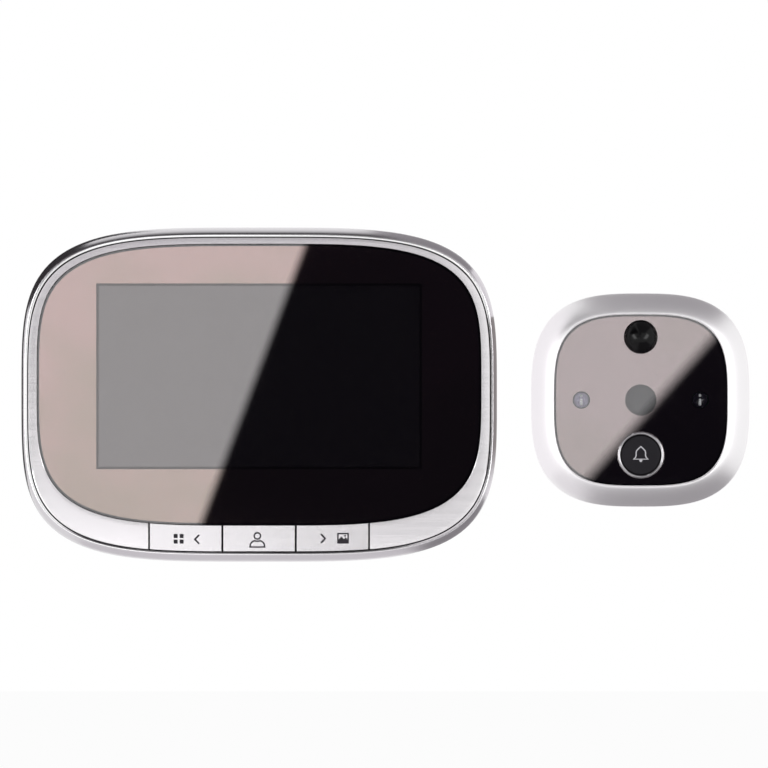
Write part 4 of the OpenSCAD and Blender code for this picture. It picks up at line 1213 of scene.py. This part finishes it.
def card_object(name, corners, material):
    """One flat face between four corners."""
    card = raw_object(name, ([Vector(c) for c in corners], [tuple(range(len(corners)))]))
    card.data.materials.append(material)
    return card


def seen_rays(tree):
    """1 for rays that show the background: straight to the camera, or through gloss or glass."""
    straight = tree.node("ShaderNodeLightPath", output="Is Camera Ray")
    mirrored, through = straight.other("Is Glossy Ray"), straight.other("Is Transmission Ray")
    return straight.larger(mirrored).larger(through)


def studio():
    """White surroundings and a pale floor."""
    world = bpy.data.worlds.new("white_studio")
    world.use_nodes = True
    bpy.context.scene.world = world
    tree = Tree(world.node_tree)
    level = AMBIENT + (1 - AMBIENT) * seen_rays(tree)
    sky = tree.node("ShaderNodeBackground", sockets={"Color": WHITE, "Strength": level})
    tree.end(sky, "ShaderNodeOutputWorld")

    paper = bpy.data.materials.new("paper_floor")
    paper.use_nodes = True
    tree = Tree(paper.node_tree)
    fibre = tree.noise(tree.place(), 0.4, 3.0)
    tone = tree.blend(fibre, (0.8, 0.8, 0.8), (0.84, 0.84, 0.84))
    matt = tree.node("ShaderNodeBsdfPrincipled", sockets={"Base Color": tone, "Roughness": 0.9})
    glow = tree.node("ShaderNodeEmission", sockets={"Color": WHITE, "Strength": 1.0})
    share = FLOOR_GLOW * seen_rays(tree)
    tree.end(tree.node("ShaderNodeMixShader", sockets={0: share, 1: matt, 2: glow}))
    reach = (-FLOOR_REACH, FLOOR_REACH)
    floor = card_object("paper_floor", level_card(*reach, *reach, FLOOR_Z), paper)


SOFTBOX_W, SOFTBOX_H, SOFTBOX_RADIANCE = 0.26, 0.6, 4.5
SOFTBOX_AIM = (0.04, 0.0, 0.0)


def softbox(name, at):
    """Tall soft lamp that faces the object."""
    lamp = bpy.data.lights.new(name, "AREA")
    lamp.shape, lamp.size, lamp.size_y = "RECTANGLE", SOFTBOX_W, SOFTBOX_H
    lamp.energy = SOFTBOX_RADIANCE * math.pi * SOFTBOX_W * SOFTBOX_H
    box = bpy.data.objects.new(name, lamp)
    box.location = at
    aim = Vector(SOFTBOX_AIM) - Vector(at)
    box.rotation_euler = aim.to_track_quat("-Z", "Z").to_euler()
    bpy.context.scene.collection.objects.link(box)


def flag(name, corners, tone, edge=None):
    """A card that only reflections see.

    It may fade in along an edge, given by its start, direction and width in millimetres.
    """
    material = bpy.data.materials.new(name)
    material.use_nodes = True
    tree = Tree(material.node_tree)
    shade = tree.node("ShaderNodeEmission", sockets={"Color": colour(tone), "Strength": 1.0})
    if edge:
        start, way, width = edge
        kind = "ShaderNodeVectorMath"
        away = tree.node(kind, {"operation": "SUBTRACT"}, {0: tree.place(), 1: start})
        along = tree.node(kind, {"operation": "DOT_PRODUCT"}, {0: away, 1: way}, output="Value")
        seen, clear = along.fade(0.0, width), tree.node("ShaderNodeBsdfTransparent")
        shade = tree.node("ShaderNodeMixShader", sockets={0: seen, 1: clear, 2: shade})
    tree.end(shade)
    card = card_object(name, corners, material)
    card.visible_camera = card.visible_diffuse = card.visible_transmission = False
    card.visible_volume_scatter = card.visible_shadow = False


FLAG_REACH = 0.9


def mirror_flag(name, low, high, line, depth, soft):
    """Dark card in front of a pane, which fills its reflection on the right of a slanting line.

    The corners and the line are given on the pane, and thrown out to the card as the camera
    sees them.
    """
    grow = FLAG_REACH / (-CAMERA_AT.y - depth * MM)
    y = -depth * MM - FLAG_REACH

    def thrown(x, z):
        return x + (x - CAMERA_AT.x / MM) * grow, z + (z - CAMERA_AT.z / MM) * grow

    (x0, z0), (x1, z1), a, b = (thrown(*q) for q in (low, high, *line))
    dx, dz = b[0] - a[0], b[1] - a[1]
    size = math.hypot(dx, dz)
    way = (-dz / size, 0.0, dx / size)
    start = (a[0] - way[0] * soft / 2, 0.0, a[1] - way[2] * soft / 2)
    flag(name, upright_card(x0 * MM, x1 * MM, z0 * MM, z1 * MM, y), NIGHT, (start, way, soft))


FRONT = -0.92
# Name, corners and tone of each card, and where some of them fade in
CARDS = (
    ("plate_flag", upright_card(-0.25, 0.1, 0.058, 0.33, FRONT), (0.68, 0.65, 0.68)),
    ("line_flag", upright_card(-0.03, 0.13, 0.22, 0.46, -0.9), DIM),
    ("plate_left_flag", upright_card(-0.3, -0.0845, -0.036, 0.058, FRONT), DIM),
    ("keys_flag", upright_card(0.01, 0.09, -0.2, -0.0478, FRONT), (0.46, 0.443, 0.46)),
    ("keys_card", upright_card(-0.09, 0.004, -0.2, -0.0478, FRONT), (2.45, 2.4, 2.45)),
    ("under_flag", level_card(-0.1, 0.31, -0.25, 0.15, -0.148), (0.79, 0.77, 0.79)),
    ("plate_right_flag", upright_card(0.0715, 0.094, -0.047, 0.058, FRONT), DIM),
    (
        "top_flag",
        level_card(-0.3, 0.05, -0.3, 0.12, 0.13),
        DIM,
        ((0, 70, 0), (0, -1, 0), 200),
    ),
    ("left_back_flag", upright_card(-0.3, -0.055, -0.06, 0.3, 0.25), DIM),
    (
        "corner_flag",
        [(-0.17, -0.1, 0.052), (-0.085, -0.1, 0.137), (-0.085, 0.2, 0.137), (-0.17, 0.2, 0.052)],
        DIM,
    ),
    ("cheek_card", side_card(0.0757, -0.026, 0.03, -0.033, 0.048), (0.95, 0.93, 0.95)),
    (
        "wall_card",
        side_card(0.0747, -0.03, 0.03, -0.03, 0.024),
        (0.33, 0.305, 0.3),
        ((0, 0, -30), (0, 0, 1), 16),
    ),
    ("rim_flag_over", level_card(0.045, 0.31, -0.4, 0.55, 0.2), RIM_GREY[0]),
    (
        "rim_flag_under",
        level_card(0.058, 0.31, -0.25, 0.5, -0.14),
        RIM_GREY[1],
        ((58, 0, 0), (1, 0, 0), 25),
    ),
)


def lights():
    """Two softboxes, the dark halves of the panes, and the cards that shade the metal."""
    softbox("left_softbox", (-0.5, -0.75, 0.0))
    softbox("right_softbox", (0.6, -0.75, 0.0))
    screen_line = ((13.6, 44.6), (-17.3, -38.05))
    mirror_flag("screen_flag", (-72, -39), (66.5, 45), screen_line, 21.6, 4.5)
    panel_line = ((134.0, 17.5), (98.7, -22.2))
    mirror_flag("panel_flag", (86, -27.5), (139, 24.5), panel_line, 15.0, 6.5)
    for card in CARDS:
        flag(*card)


camera()
studio()
lights()

bpy.context.scene.view_settings.view_transform = "Standard"
